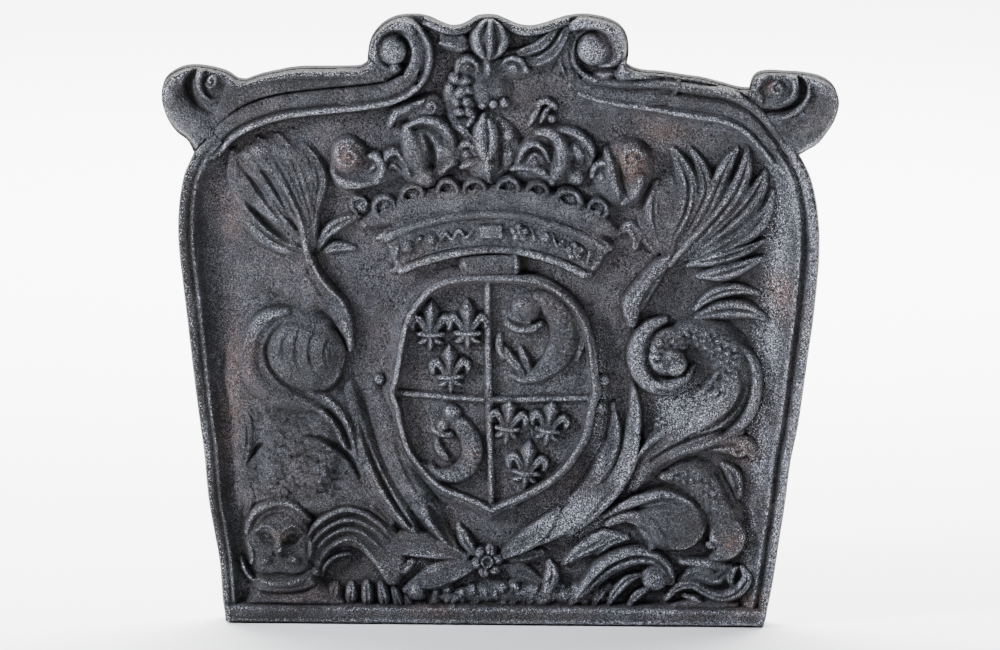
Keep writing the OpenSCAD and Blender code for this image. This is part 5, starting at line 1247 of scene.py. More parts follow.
def leaf(relief, points, veins=2, deep=1.6, form=ribbed):
    """A long leaf: a stroke with its midrib and veins that run with it."""
    strike(relief, points, form)
    for k in range(1, veins + 1):
        for side in (-1, 1):
            run = []
            for n, (x, y, w, h) in enumerate(points):
                a, b = points[max(n - 1, 0)], points[min(n + 1, len(points) - 1)]
                dx, dy = b[0] - a[0], b[1] - a[1]
                far = math.hypot(dx, dy) or 1
                off = side * w * 0.42 * k / (veins + 1)
                run.append((x - dy / far * off, y + dx / far * off, max(0.12 * w, 1.2),
                    deep * min(1, w / 14)))
            groove(relief, run)


plume = blank()
heap_up(plume, [(234, 150), (250, 138), (272, 134), (296, 136), (318, 150), (330, 180), (326, 214),
    (318, 250), (300, 254), (268, 244), (240, 222), (231, 190)], 11, 16, soft=True)
leaf(plume, [(310, 254, 7, 9), (292, 247, 20, 14), (270, 235, 27, 14.5), (252, 218, 22, 11),
    (240, 204, 6, 5)], 3)
leaf(plume, [(311, 250, 7, 9), (294, 224, 27, 15.5), (267, 194, 52, 16.5), (245, 172, 38, 13),
    (235, 152, 10, 6)], 5, 1.8)
leaf(plume, [(313, 246, 6, 9), (302, 212, 17, 15), (287, 178, 21, 16), (272, 153, 17, 13),
    (260, 138, 6, 6)], 2)
leaf(plume, [(315, 244, 6, 9), (311, 214, 14, 14.5), (301, 180, 18, 15), (290, 152, 16, 13),
    (280, 135, 6, 6)], 1)
leaf(plume, [(316, 244, 5, 9), (316, 208, 12, 12), (320, 180, 19, 12), (314, 158, 14, 9),
    (304, 143, 5, 5)], 1)
leaf(plume, [(319, 248, 5, 8), (328, 232, 13, 11), (344, 221, 14, 10), (360, 214, 5, 5)], 1)
leaf(plume, [(322, 252, 5, 6), (336, 246, 13, 9), (354, 246, 6, 5)], 1)
groove(plume, [(248, 200, 4, 3), (260, 214, 8, 8), (274, 227, 9, 9), (290, 239, 6, 5)])
groove(plume, [(240, 160, 3, 1.5), (262, 190, 5, 4), (286, 222, 4, 3)])
groove(plume, [(252, 150, 3, 1.5), (276, 186, 5, 4.5), (298, 226, 4, 3)])
strike(plume, [(309, 262, 12, 12), (306, 240, 9, 15.5), (300, 214, 7, 16), (284, 184, 6, 16),
    (262, 154, 4, 12)])
tail = blank()
heap_up(tail, [(302, 247), (314, 252), (321, 266), (334, 284), (347, 298), (354, 316), (356, 342), (350, 352),
    (343, 336), (330, 316), (318, 308), (304, 304), (297, 292), (292, 276), (290, 262), (294, 254)], 13, 14)
strike(tail, [(292, 254, 14, 7), (291, 270, 34, 8.5), (298, 290, 40, 8.5), (312, 304, 26, 8)], swell, blend=4)
strike(tail, [(311, 256, 4, 13), (318, 271, 4.5, 15.5), (329, 286, 4.5, 15.5), (342, 299, 4.5, 14),
    (350, 318, 4, 11)])
groove(tail, [(306, 258, 3, 1), (311, 272, 4, 2.5), (322, 290, 4, 2.5), (334, 305, 3, 1.5)])
groove(tail, [(296, 264, 3, 1), (299, 280, 4, 1.6), (306, 296, 3, 1)])
coil = blank()
heap_up(coil, [(264, 340), (268, 324), (282, 314), (302, 310.5), (320, 317), (333, 329), (341, 345),
    (341, 362), (333, 374), (318, 382), (298, 386), (278, 382), (267, 368), (263, 352)], 18.5, 17, soft=True)
heap_up(coil, [(228, 340), (236, 322), (254, 308), (282, 302), (300, 304), (330, 312), (352, 340), (352, 370),
    (340, 392), (300, 404), (258, 404), (232, 398), (226, 370)], 9, 14, soft=True)
strike(coil, [(288, 310, 8, 14), (270, 316, 17, 16.5), (257, 330, 23, 17.5), (251, 349, 26, 18),
    (252, 368, 27, 18), (262, 386, 28, 18), (281, 396, 27, 17.5), (302, 400, 26, 17), (322, 401, 18, 15),
    (336, 404, 10, 12)], blend=1.2)
strike(coil, [(240, 340, 20, 8), (236, 370, 26, 9), (240, 398, 26, 10)], swell, blend=4)
boss(coil, 293, 353, 98, 17.2, 1.0, 0, blunt, blend=3)
boss(coil, 306, 348, 76, 18.4, 0.96, 0, blunt, blend=3)
groove(coil, [(286, 318, 4, 2), (274, 329, 6, 3.5), (267, 346, 6, 5), (272, 365, 6, 5), (286, 380, 6, 5.5),
    (303, 390, 6, 5), (320, 400, 6, 4), (334, 412, 4, 2)])
groove(coil, [(332, 322, 4, 3), (344, 334, 7, 8), (349, 350, 7, 9), (346, 368, 7, 9), (337, 382, 6, 6),
    (326, 390, 4, 3)])
for run in ([(290, 326, 3, 1.2), (283, 340, 4, 2.4), (284, 354, 3, 1.4)],
        [(303, 320, 3, 1.2), (297, 336, 4, 2.4), (297, 354, 4, 2.2), (304, 368, 3, 1.2)],
        [(318, 322, 3, 1.2), (311, 338, 4, 2.4), (311, 356, 4, 2.2), (318, 370, 3, 1.2)],
        [(330, 332, 3, 1.2), (325, 346, 4, 2.2), (328, 362, 3, 1.2)]):
    groove(coil, run)
for work, node in ((plume, "plume_left"), (coil, "coil_left"), (tail, "tail_left")):
    member(node, work, dolphin_iron, "carved_iron")


# ---- Left dolphin: body, head and fins ----
# The thickest mass of the casting: a scaled belly, and under it a face that looks out,
# with a round brow, sunk eyes, a long nose and folded lips.
body = blank()
belly = [(243, 392), (258, 384), (280, 392), (304, 396), (322, 388), (340, 398), (353, 418), (358, 446),
    (356, 470), (350, 492), (334, 507), (312, 512), (286, 500), (262, 503), (246, 499), (243, 470),
    (243, 430), (245, 402)]
heap_up(body, belly, 18.5, 34, soft=True)
heap_up(body, [(226, 388), (262, 376), (330, 380), (360, 398), (376, 440), (392, 480), (384, 516), (330, 524),
    (262, 514), (232, 508), (226, 450)], 10.5, 20, soft=True)
boss(body, 296, 450, 92, 19.6, 1.1, 20, swell, blend=5)
scales(body, [(250, 400), (300, 402), (316, 420), (345, 460), (340, 490), (300, 492), (255, 490), (247, 440)],
    10.5, 18, 2.5, 9)
strike(body, [(312, 392, 8, 13), (328, 398, 11, 16), (343, 414, 12, 17), (352, 434, 10, 15),
    (357, 458, 6, 11)], blend=1.2)
strike(body, [(310, 404, 7, 14), (324, 411, 10, 17), (336, 426, 10, 17), (345, 446, 8, 14)], blend=1.2)
groove(body, [(308, 398, 3, 2), (327, 405, 4, 4), (341, 421, 4, 5), (350, 444, 4, 4)])
groove(body, [(306, 430, 3, 2), (322, 434, 6, 7), (338, 444, 8, 9), (352, 458, 7, 8), (360, 474, 5, 4)])
groove(body, [(266, 438, 3, 2), (257, 445, 7, 8), (248, 456, 6, 6)])
strike(body, [(284, 448, 3, 18), (296, 443, 4, 20), (310, 445, 4, 20), (324, 452, 3, 18)], blend=1.0)
groove(body, [(286, 453, 3, 1.6), (302, 450, 3.5, 2.4), (320, 457, 3.5, 2.4), (340, 470, 3, 1.6)])
groove(body, [(278, 478, 3, 1.6), (290, 488, 3.5, 2.4), (300, 500, 3, 2)])
head = blank()
heap_up(head, [(243, 522), (252, 506), (266, 497), (284, 495), (302, 501), (314, 514), (319, 532), (318, 550),
    (322, 566), (328, 580), (346, 592), (342, 606), (246, 606), (246, 590), (248, 574), (243, 556),
    (240, 538)], 13, 15, soft=True)
boss(head, 279, 534, 70, 17, 0.95, 0, swell, blend=5)
strike(head, [(247, 530, 8, 11), (252, 515, 13, 14), (264, 505, 16, 16), (281, 501, 18, 17),
    (297, 506, 15, 15.5), (309, 518, 9, 12)], swell, blend=4)
groove(head, [(258, 520, 4, 2), (268, 512, 4, 3), (281, 509, 4, 3), (294, 514, 4, 2)])
groove(head, [(259, 530, 6, 3), (267, 534, 13, 6), (274, 540, 7, 4)], full)
groove(head, [(285, 538, 6, 3), (292, 536, 13, 6.5), (301, 531, 6, 3)], full)
strike(head, [(257, 528, 4, 16), (264, 523, 6, 19), (272, 525, 6, 19.5), (277, 530, 5, 19)], blend=0.9)
strike(head, [(282, 530, 5, 19), (288, 525, 6, 19.5), (296, 524, 6, 19), (303, 530, 4, 16)], blend=0.9)
boss(head, 268, 534, 7, 14.5, 0.8, blend=0.8)
boss(head, 292.5, 536, 7, 14.5, 0.8, blend=0.8)
strike(head, [(279.5, 527, 7, 18.5), (279.5, 538, 9, 20), (279, 546, 16, 20.3), (279, 550, 12, 18)])
groove(head, [(273.5, 549, 3.5, 3), (275.5, 552, 3.5, 2)])
groove(head, [(284.5, 549, 3.5, 3), (283, 552, 3.5, 2)])
boss(head, 265, 558, 29, 18, 0.72, 12, swell, blend=2)
boss(head, 294, 558, 29, 18, 0.72, -12, swell, blend=2)
strike(head, [(249, 541, 7, 13), (252, 551, 9, 15), (252, 561, 7, 12)])
strike(head, [(309, 534, 7, 13), (311, 545, 10, 16), (310, 556, 7, 13)])
groove(head, [(255, 569, 4, 2), (264, 571, 5, 4.5), (272, 572, 5, 4.5), (280, 570, 5, 4), (289, 572, 5, 5),
    (300, 571, 5, 5), (309, 565, 4, 3)])
strike(head, [(257, 577, 7, 12), (268, 581, 12, 16.5), (282, 582, 13, 17.5), (297, 580, 12, 16.5),
    (308, 575, 7, 12)], blend=1.2)
groove(head, [(252, 585, 3, 3), (266, 590, 5, 5.5), (284, 591, 5, 6), (304, 588, 5, 5.5), (316, 582, 3, 3)])
strike(head, [(249, 600, 7, 9), (266, 597.5, 12, 13), (292, 598, 13, 14.5), (318, 599, 12, 13),
    (342, 601, 7, 9)])
groove(head, [(262, 602, 3, 2), (290, 603, 3.5, 3), (318, 603, 3, 2)])
boss(head, 316, 570, 13, 14.5)
strike(head, [(241, 556, 4, 9), (244, 566, 6.5, 12.5), (250, 575, 7, 13), (258, 581, 5, 10)])
fins = blank()
leaf(fins, [(242, 398, 6, 8), (247, 418, 15, 13), (247, 446, 15, 14), (242, 470, 8, 8)], 1)
leaf(fins, [(242, 478, 6, 7), (250, 492, 15, 12), (247, 512, 8, 7)], 1)
leaf(fins, [(338, 468, 8, 9), (352, 484, 24, 13), (372, 501, 24, 13), (390, 520, 12, 9)], 2)
leaf(fins, [(314, 482, 6, 8), (325, 494, 15, 12), (338, 508, 10, 9)], 1)
for work, node in ((body, "body_left"), (head, "head_left"), (fins, "fin_left")):
    member(node, work, dolphin_iron, "carved_iron")


# ---- Right dolphin: plume, fins and tail ----
# The same beast turned the other way, cut crisper: eight blades fan out over a stalk
# that bends down, with short fins stepped below the plume.
plume = blank()
heap_up(plume, [(640, 214), (648, 190), (668, 168), (690, 176), (712, 172), (732, 170), (752, 178),
    (766, 196), (762, 222), (738, 244), (702, 258), (676, 264), (654, 254), (642, 238)], 9.5, 14, soft=True)
leaf(plume, [(669, 258, 7, 9), (672, 236, 18, 13), (684, 209, 24, 15), (686, 180, 25, 14),
    (672, 149, 8, 6)], 1)
leaf(plume, [(664, 254, 6, 8), (656, 233, 17, 12), (652, 209, 20, 13), (656, 182, 8, 6)], 1)
leaf(plume, [(656, 252, 6, 7), (645, 234, 16, 10), (641, 212, 8, 6)], 1)
leaf(plume, [(674, 252, 7, 9), (693, 217, 16, 14), (704, 190, 19, 14.5), (699, 165, 13, 10),
    (689, 148, 5, 5)], 1)
leaf(plume, [(678, 253, 7, 9), (702, 217, 17, 14.5), (716, 185, 18, 15.5), (727, 161, 13, 12),
    (735, 149, 6, 6)], 1)
leaf(plume, [(680, 255, 7, 9), (706, 227, 18, 15), (730, 198, 23, 16), (742, 172, 17, 14),
    (746, 149, 6, 6)], 1)
leaf(plume, [(684, 257, 7, 9), (716, 232, 20, 14), (742, 208, 26, 15), (757, 186, 18, 12),
    (763, 171, 6, 6)], 2)
leaf(plume, [(690, 259, 7, 9), (722, 246, 19, 13), (750, 229, 20, 13), (766, 206, 13, 9),
    (771, 189, 5, 5)], 1)
strike(plume, [(668, 262, 10, 12), (688, 240, 6, 16), (708, 220, 4, 16), (724, 202, 3, 15)])
fins = blank()
leaf(fins, [(686, 263, 6, 9), (714, 258, 16, 13.5), (742, 249, 14, 13), (762, 239, 5, 6)], 1)
leaf(fins, [(698, 275, 6, 9), (722, 272, 19, 14), (746, 263, 13, 12), (762, 255, 4, 5)], 1)
leaf(fins, [(694, 307, 6, 8), (711, 294, 13, 12), (734, 288, 13, 12), (756, 291, 5, 6)], 1)
leaf(fins, [(696, 316, 8, 9), (720, 309, 21, 15), (744, 309, 19, 13.5), (764, 316, 6, 7)], 2)
tail = blank()
strike(tail, [(673, 249, 8, 11), (658, 266, 17, 14), (642, 288, 23, 16), (632, 305, 24, 15.5),
    (631, 321, 13, 10)])
strike(tail, [(668, 254, 4, 13), (650, 274, 6, 17), (635, 296, 8, 18), (630, 313, 5, 13)])
groove(tail, [(663, 268, 3, 2), (650, 283, 5, 4), (641, 300, 5, 4), (639, 314, 4, 3)])
strike(tail, [(618, 232, 5, 5), (628, 226, 14, 8), (636, 234, 16, 9), (634, 246, 8, 7)], ribbed)
for work, node in ((plume, "plume_right"), (fins, "fin_right"), (tail, "tail_right")):
    member(node, work, dolphin_iron, "carved_iron")


# ---- Right dolphin: coil, body and head ----
# A snail coil with scales over its back, a broad scaled body that swings down to the
# left under a bright fin ridge, and a head in profile with round cheeks.
coil = blank()
strike(coil, [(664, 318, 9, 9), (648, 326, 16, 13), (638, 343, 20, 16), (637, 362, 22, 17),
    (648, 380, 22, 17), (668, 386, 17, 16), (686, 377, 12, 14), (692, 364, 6, 9)])
curl(coil, 668, 355, 62, 26, 15.5, 1.35, 60, 22, lift=4)
scales(coil, [(652, 344), (666, 330), (690, 326), (698, 342), (690, 352), (670, 348), (656, 362)],
    8, 10, 4.0, 15)
boss(coil, 674, 364, 26, 20, 1.0, 0, blunt, blend=2.4)
groove(coil, [(690, 360, 4, 3), (694, 371, 6, 8), (686, 382, 7, 10), (671, 389, 7, 9), (656, 385, 4, 4)])
groove(coil, [(655, 332, 4, 2), (647, 347, 5, 4), (648, 366, 5, 4), (660, 377, 4, 3)])
body = blank()
strike(body, [(664, 338, 14, 13), (690, 332, 34, 16), (718, 342, 44, 18), (733, 366, 44, 19),
    (726, 394, 50, 19), (700, 418, 62, 19), (670, 438, 56, 17.5), (648, 462, 36, 14),
    (634, 484, 14, 9)], swell)
strike(body, [(742, 346, 8, 12), (753, 366, 13, 15), (754, 392, 14, 15), (745, 416, 14, 14),
    (728, 432, 12, 12)])
strike(body, [(727, 364, 7, 17), (729, 380, 9, 20), (719, 396, 9, 20.5), (697, 412, 9, 20.5),
    (668, 428, 9, 20), (646, 444, 8, 18), (632, 462, 5, 12)])
groove(body, [(738, 366, 5, 3), (741, 384, 7, 6), (733, 404, 7, 6), (712, 420, 6, 5), (684, 434, 5, 4)])
strike(body, [(740, 430, 8, 10), (715, 438, 14, 14), (684, 448, 13, 15), (658, 462, 10, 13),
    (640, 480, 6, 8)])
groove(body, [(724, 425, 4, 4), (700, 431, 5, 5), (672, 442, 5, 5), (650, 456, 4, 4)])
groove(body, [(720, 362, 4, 2.5), (716, 380, 6, 4), (700, 392, 5, 3), (684, 396, 4, 2)])
scales(body, [(648, 428), (652, 396), (676, 392), (696, 378), (716, 372), (722, 386), (704, 400), (678, 416),
    (656, 432)], 7.5, -30, 4.0, 12)
scales(body, [(684, 326), (712, 326), (734, 344), (742, 366), (724, 368), (700, 360), (680, 352)],
    8.5, 24, 4.6, 13)


def domed(edge, crown):
    """A drum with a domed top: so high at its edge, and so much more in the middle."""
    return lambda u, *_: edge + crown * swell(u)


head = blank()
strike(head, [(664, 474, 16, 11), (690, 476, 42, 16), (712, 496, 46, 17), (724, 522, 42, 18.5),
    (727, 546, 34, 17.5), (714, 560, 16, 12)], swell)
scales(head, [(668, 462), (700, 466), (718, 484), (730, 508), (708, 512), (694, 496), (672, 484)],
    8.5, 30, 3.2, 14)
boss(head, 668, 520, 68, 19.3, 0.92, form=blunt)
strike(head, [(604, 514, 7, 8), (622, 505, 12, 13), (642, 498, 12, 17), (664, 493, 10, 19), (688, 500, 8, 18),
    (700, 516, 6, 15), (701, 532, 5, 12)])
strike(head, [(608, 522, 9, 9), (626, 514, 17, 13), (644, 520, 20, 15), (654, 537, 15, 14),
    (650, 548, 8, 11)])
groove(head, [(606, 515, 3, 2), (626, 508, 4, 3.5), (648, 504, 4, 4), (670, 502, 4, 3.5), (688, 510, 4, 3),
    (692, 526, 4, 3), (686, 538, 3, 2)])
groove(head, [(644, 506, 3, 2), (656, 516, 4, 4), (665, 530, 4, 4.5), (668, 544, 3, 3)])
groove(head, [(616, 515, 3, 2), (634, 517, 4, 3), (650, 530, 4, 3), (656, 545, 3, 2)])
boss(head, 679, 523, 54, 20.4, 1.0, form=domed(0.55, 0.45), blend=3)
boss(head, 727, 537, 36, 20.3, 1.15, form=domed(0.72, 0.28))
boss(head, 709, 544, 9, 20.5, 1.0, blend=0.8)
groove(head, [(703, 541, 3, 2.5), (708, 537, 3, 3.5), (715, 542, 3, 3.5), (712, 549, 3, 3)])
groove(head, [(694, 556, 4, 3), (710, 558, 5, 5), (726, 560, 5, 6), (738, 556, 4, 4)])
strike(head, [(682, 560, 8, 8), (704, 563, 13, 12), (724, 566, 12, 10)])
groove(head, [(716, 470, 4, 3), (724, 486, 5, 4), (731, 502, 4, 3)])
fin_tips = blank()
leaf(fin_tips, [(710, 446, 8, 8), (726, 443, 22, 14), (744, 444, 20, 14), (752, 454, 8, 8)], 1)
curl(fin_tips, 739, 446, 24, 8, 14, 1.1, 200, 10)
leaf(fin_tips, [(722, 462, 6, 8), (733, 474, 17, 13), (738, 494, 9, 8)], 1)
for work, name, node in ((body, "body_right", "body_right"), (coil, "coil_right", "coil_right"),
        (head, "head_right", "head_right"), (fin_tips, "fin_tips", "fin_right")):
    settle(cast(name + "_cast", work), node, dolphin_iron)


# ---- Ribbons and scrolls ----
# Long leaves and ribbons that spring from the rosette and lap the shield and the
# beasts; on the left they break into three arched rolls, one inside the next.
leaf_iron = iron("Foliage iron", (0.0165, 0.017, 0.0203), (0.105, 0.11, 0.128), 0.55, 0.65, 0.5)


def tilted(u, *_):
    """Flat, one edge higher than the other, as a ribbon laid over."""
    return np.clip(1 - np.abs(u) ** 5, 0, 1) ** 0.5 * (0.74 - 0.26 * u)


ribbons_l = blank()
strike(ribbons_l, [(350, 384, 14, 6), (357, 420, 26, 11), (367, 456, 32, 14), (383, 488, 32, 15),
    (402, 514, 25, 14.5), (417, 534, 10, 9)], swell, 2.4)
strike(ribbons_l, [(372, 384, 16, 5), (386, 424, 34, 9.5), (398, 458, 38, 13), (413, 488, 36, 15.5),
    (430, 516, 25, 15), (446, 538, 16, 13), (466, 556, 8, 9)], swell, 2.4)
groove(ribbons_l, [(360, 418, 3, 1.5), (366, 440, 5, 5), (377, 468, 6, 7.5), (392, 496, 6, 8),
    (411, 523, 4, 5)])
groove(ribbons_l, [(352, 430, 3, 1.5), (358, 452, 4, 2.5), (370, 480, 4, 2.5)])
groove(ribbons_l, [(396, 438, 3, 1.2), (404, 462, 4, 2.2), (417, 486, 4, 2.2)])
groove(ribbons_l, [(429, 503, 5, 5), (436, 516, 11, 9), (445, 532, 10, 8), (453, 542, 5, 5)])
ribbons_r = blank()
strike(ribbons_r, [(632, 384, 6, 9), (634, 408, 13, 14), (632, 434, 18, 17), (627, 460, 21, 18),
    (611, 488, 21, 17.5), (590, 512, 16, 15), (568, 532, 7, 10)], tilted, 1.2)
strike(ribbons_r, [(608, 478, 6, 10), (592, 498, 19, 17), (570, 518, 23, 18), (547, 534, 16, 15),
    (532, 544, 5, 10)], tilted, 1.2)
strike(ribbons_r, [(558, 509, 6, 10), (544, 525, 18, 16.5), (526, 540, 22, 17.5), (505, 553, 12, 14)], tilted,
    1.2)
strike(ribbons_r, [(612, 402, 6, 6), (613, 436, 16, 10), (600, 468, 20, 11), (574, 498, 12, 8)], tilted, 1.6)
scrolls = blank()
heap_up(scrolls, [(301, 550), (306, 530), (320, 514), (342, 503), (363, 504), (382, 515), (398, 530),
    (406, 548), (404, 568), (398, 584), (386, 584), (374, 568), (358, 552), (340, 549), (328, 556),
    (322, 570), (311, 564)], 10, 8)
for run in ([(303, 547, 4, 11), (311, 529, 6.5, 15), (325, 516, 7.5, 17.5), (344, 508, 8.5, 18.5),
        (362, 511, 8.5, 17), (378, 521, 8, 15), (392, 535, 5, 11)],
        [(308, 551, 3.5, 11), (316, 536, 5.5, 15), (329, 525, 6.5, 17), (346, 518, 7.5, 17.5),
            (362, 521, 8.5, 16), (380, 532, 8.5, 14), (395, 547, 5, 10)],
        [(314, 553, 3.5, 11), (321, 542, 5.5, 14), (333, 532, 6.5, 16), (348, 527, 7.5, 16),
            (364, 532, 8.5, 15), (380, 546, 8.5, 13), (394, 563, 5, 9)],
        [(319, 561, 4, 10), (326, 550, 5.5, 14), (337, 541, 6.5, 15), (350, 537, 6.5, 14),
            (362, 543, 7.5, 13), (375, 558, 7.5, 12), (389, 577, 5, 9)],
        [(321, 574, 4, 9), (327, 562, 5, 12), (337, 554, 5.5, 12), (350, 552, 4, 9)]):
    strike(scrolls, run, blend=0.8)
groove(scrolls, [(330, 548, 3, 3), (346, 544, 4, 6), (360, 551, 6, 8), (374, 567, 7, 8), (384, 581, 5, 5)])
strike(scrolls, [(384, 558, 6, 6), (399, 568, 15, 9), (411, 560, 9, 7)], ribbed)
for work, node in ((ribbons_l, "ribbons_left"), (ribbons_r, "ribbons_right"), (scrolls, "scrolls_left")):
    member(node, work, leaf_iron, "carved_iron")


# ---- Acanthus, stems and waves ----
# The right foot corner: a thick acanthus stalk arched over a knob, with small leaves
# beneath it, and water rolled along the foot band; on the left, stems to the rosette,
# and small knobs strewn along the foot band between them.
acanthus = blank()
leaf(acanthus, [(568, 605, 7, 8), (585, 587, 17, 14), (604, 568, 23, 17), (626, 557, 23, 18),
    (648, 556, 18, 17), (664, 565, 16, 15), (671, 580, 11, 11)], 1)
strike(acanthus, [(576, 597, 3, 15), (592, 577, 4, 19), (612, 560, 4, 20), (636, 551, 3, 19)])
boss(acanthus, 655, 577, 30, 17.5, 0.95)
leaf(acanthus, [(608, 604, 6, 8), (616, 590, 12, 12), (628, 578, 12, 12), (644, 572, 5, 8)], 1)
leaf(acanthus, [(628, 605, 6, 8), (637, 594, 11, 11), (647, 588, 6, 8)], 1)
leaf(acanthus, [(592, 606, 6, 7), (600, 593, 12, 10), (610, 583, 6, 7)], 1)
leaf(acanthus, [(564, 562, 5, 6), (582, 549, 18, 9), (604, 538, 22, 10), (620, 534, 8, 7)], 1)
leaf(acanthus, [(598, 552, 5, 7), (610, 540, 14, 11), (626, 536, 8, 8)], 1)
stems = blank()
leaf(stems, [(478, 563, 8, 10), (457, 567, 24, 14.5), (434, 576, 25, 13.5), (406, 588, 10, 8)],
    1, form=tilted)
boss(stems, 417, 590, 23, 13.5)
boss(stems, 415, 588, 11, 14.5)
leaf(stems, [(466, 556, 7, 9), (438, 548, 22, 14.5), (408, 542, 28, 14.5), (374, 546, 12, 8)], 1, form=tilted)
leaf(stems, [(406, 534, 5, 6), (424, 540, 12, 9), (449, 548, 10, 9), (468, 554, 5, 8)], 1)
leaf(stems, [(459, 524, 6, 8), (465, 539, 15, 12), (474, 551, 9, 10)], 1)
leaf(stems, [(544, 597, 6, 8), (549, 585, 15, 12), (552, 572, 16, 13.5), (549, 561, 8, 8)], 1)
leaf(stems, [(500, 564, 8, 7), (519, 570, 21, 8), (538, 579, 11, 6)], 1)
heap_up(stems, [(428, 604), (440, 588), (480, 580), (540, 582), (600, 586), (616, 604)], 6.5, 9, soft=True)
leaf(stems, [(503, 552, 9, 8), (520, 555, 17, 10), (541, 551, 9, 7)], 1)
KNOBS = 64
rng = np.random.default_rng(17)
strewn = [rng.uniform(*span, KNOBS) for span in ((432, 612), (583, 603), (8, 18), (6, 10.5))]
for x, y, wide, high in zip(*strewn):
    boss(stems, x, y, wide, high, rng.uniform(0.6, 1.5), rng.uniform(0, 180), swell, blend=2.4)
waves = blank()
strike(waves, [(666, 598, 6, 8), (676, 587, 11, 13), (692, 583, 12, 14), (706, 591, 12, 13),
    (722, 596, 12, 13), (738, 590, 15, 14), (747, 577, 13, 14), (742, 566, 6, 9)], ribbed)
leaf(waves, [(680, 578, 6, 7), (698, 572, 19, 12), (716, 577, 17, 12), (729, 565, 8, 8)], 1)
leaf(waves, [(732, 584, 6, 8), (730, 574, 11, 12), (736, 566, 5, 8)], 0)
strike(waves, [(664, 606, 6, 7), (690, 603, 10, 10), (716, 604, 9, 10), (738, 603, 6, 8)])
strike(waves, [(684, 594, 6, 11), (696, 598, 8, 13), (704, 603, 5, 9)])
for work, node in ((acanthus, "acanthus_right"), (stems, "stems"), (waves, "waves_right")):
    member(node, work, leaf_iron, "carved_iron")


# ---- Rosette and petal row ----
# A flower with six round petals about a ringed eye, where every stem meets, and a row
# of six upright petals at the foot band, left.
def petal(tree):
    """A petal one unit across: a plump drop with a hollow pressed along it."""
    ball = put(tree, "GeometryNodeMeshUVSphere", Segments=40, Rings=28, Radius=0.5).outputs["Mesh"]
    spot = put(tree, "ShaderNodeSeparateXYZ", Vector=put(tree, "GeometryNodeInputPosition").outputs[0])
    near_axis = level(tree, sums(tree, "ABSOLUTE", spot.outputs["X"], 0.0), 0.16, 0.0)
    press = sums(tree, "MULTIPLY", near_axis, level(tree, spot.outputs["Z"], 0.1, 0.5, 0.0, -0.16))
    pinch = level(tree, spot.outputs["Y"], -0.5, 0.5, 1.0, 0.72)
    moved = put(tree, "ShaderNodeCombineXYZ", X=sums(tree, "MULTIPLY", spot.outputs["X"], pinch),
        Y=spot.outputs["Y"], Z=sums(tree, "ADD", sums(tree, "MULTIPLY", spot.outputs["Z"], 2.0), press))
    return put(tree, "GeometryNodeSetPosition", Geometry=ball,
        Position=moved.outputs["Vector"]).outputs["Geometry"]


petal_tree = ornament_tree("Petal", petal)
ROSE_X, ROSE_Y, PETAL_OUT, FIRST = 487, 560, 10.5, 12
places = []
for k in range(6):
    a = math.radians(60 * k + FIRST)
    places.append((ROSE_X + PETAL_OUT * math.cos(a), ROSE_Y - PETAL_OUT * math.sin(a), 15, 15, 14.5,
        60 * k - 78 + FIRST))
eye_of = blank()
boss(eye_of, ROSE_X, ROSE_Y, 20, 12)
curl(eye_of, ROSE_X, ROSE_Y, 15, 4.5, 15, 1.05)
eye_piece = cast("rosette_eye_cast", eye_of, 0.5, 1.0)
flower = scatter("rosette_cast", petal_tree, places, Iron=leaf_iron, Seed=5.0)
row = scatter("petals_left_cast", petal_tree, [(333, 594, 20, 30, 10, -12), (351, 592, 15, 26, 12, -4),
    (367, 593, 16, 30, 13, 3), (383, 594, 16, 29, 13, 12), (397, 597, 15, 27, 12, 22),
    (408, 601, 12, 20, 10, 32)], Iron=leaf_iron, Seed=6.0, Unevenness=0.0016)
for piece, node in ((eye_piece, "rosette"), (flower, "rosette"), (row, "petals_left")):
    settle(piece, node, leaf_iron)


# ---- The setting ----
# Worked out first from the finished face: where the casting is hollow, proud and rusty, where painted shade
# and shadow (with some soot) and painted highlights (with some wear) go. Then the camera, a soft window light
# from the left with weaker ones above and behind, and a plain pale floor all round.
heap = face + skin_broad
# painted shade: near_low and far_low darken creases and the ground beside raised work, where shade falls
near_low = np.clip((soften(np.maximum(heap, -1), 2.8) - heap - 0.4) / 2.0, 0, 1)
far_low = np.clip((soften(np.maximum(heap, -1), 7.0) - heap - 2.6) / 8.0, 0, 1)
# near_high and far_high mark proud ridges, which get both rubbed tone and painted highlight
near_high = np.clip((heap - soften(heap, 3.0)) / 2.0, 0, 1)
far_high = np.clip((heap - soften(heap, 8.0) - 0.8) / 6.0, 0, 1)


def blooms(*spots):
    """Soft spots on the drawing: (x, y, reach across, reach up, strength)."""
    field = np.zeros_like(face)
    for x, y, rx, ry, much in spots:
        cx, cz = sheet(x, y)
        field = np.maximum(field, much * np.exp(-(((ACROSS - cx) / rx) ** 2 + ((UP - cz) / ry) ** 2)))
    return field


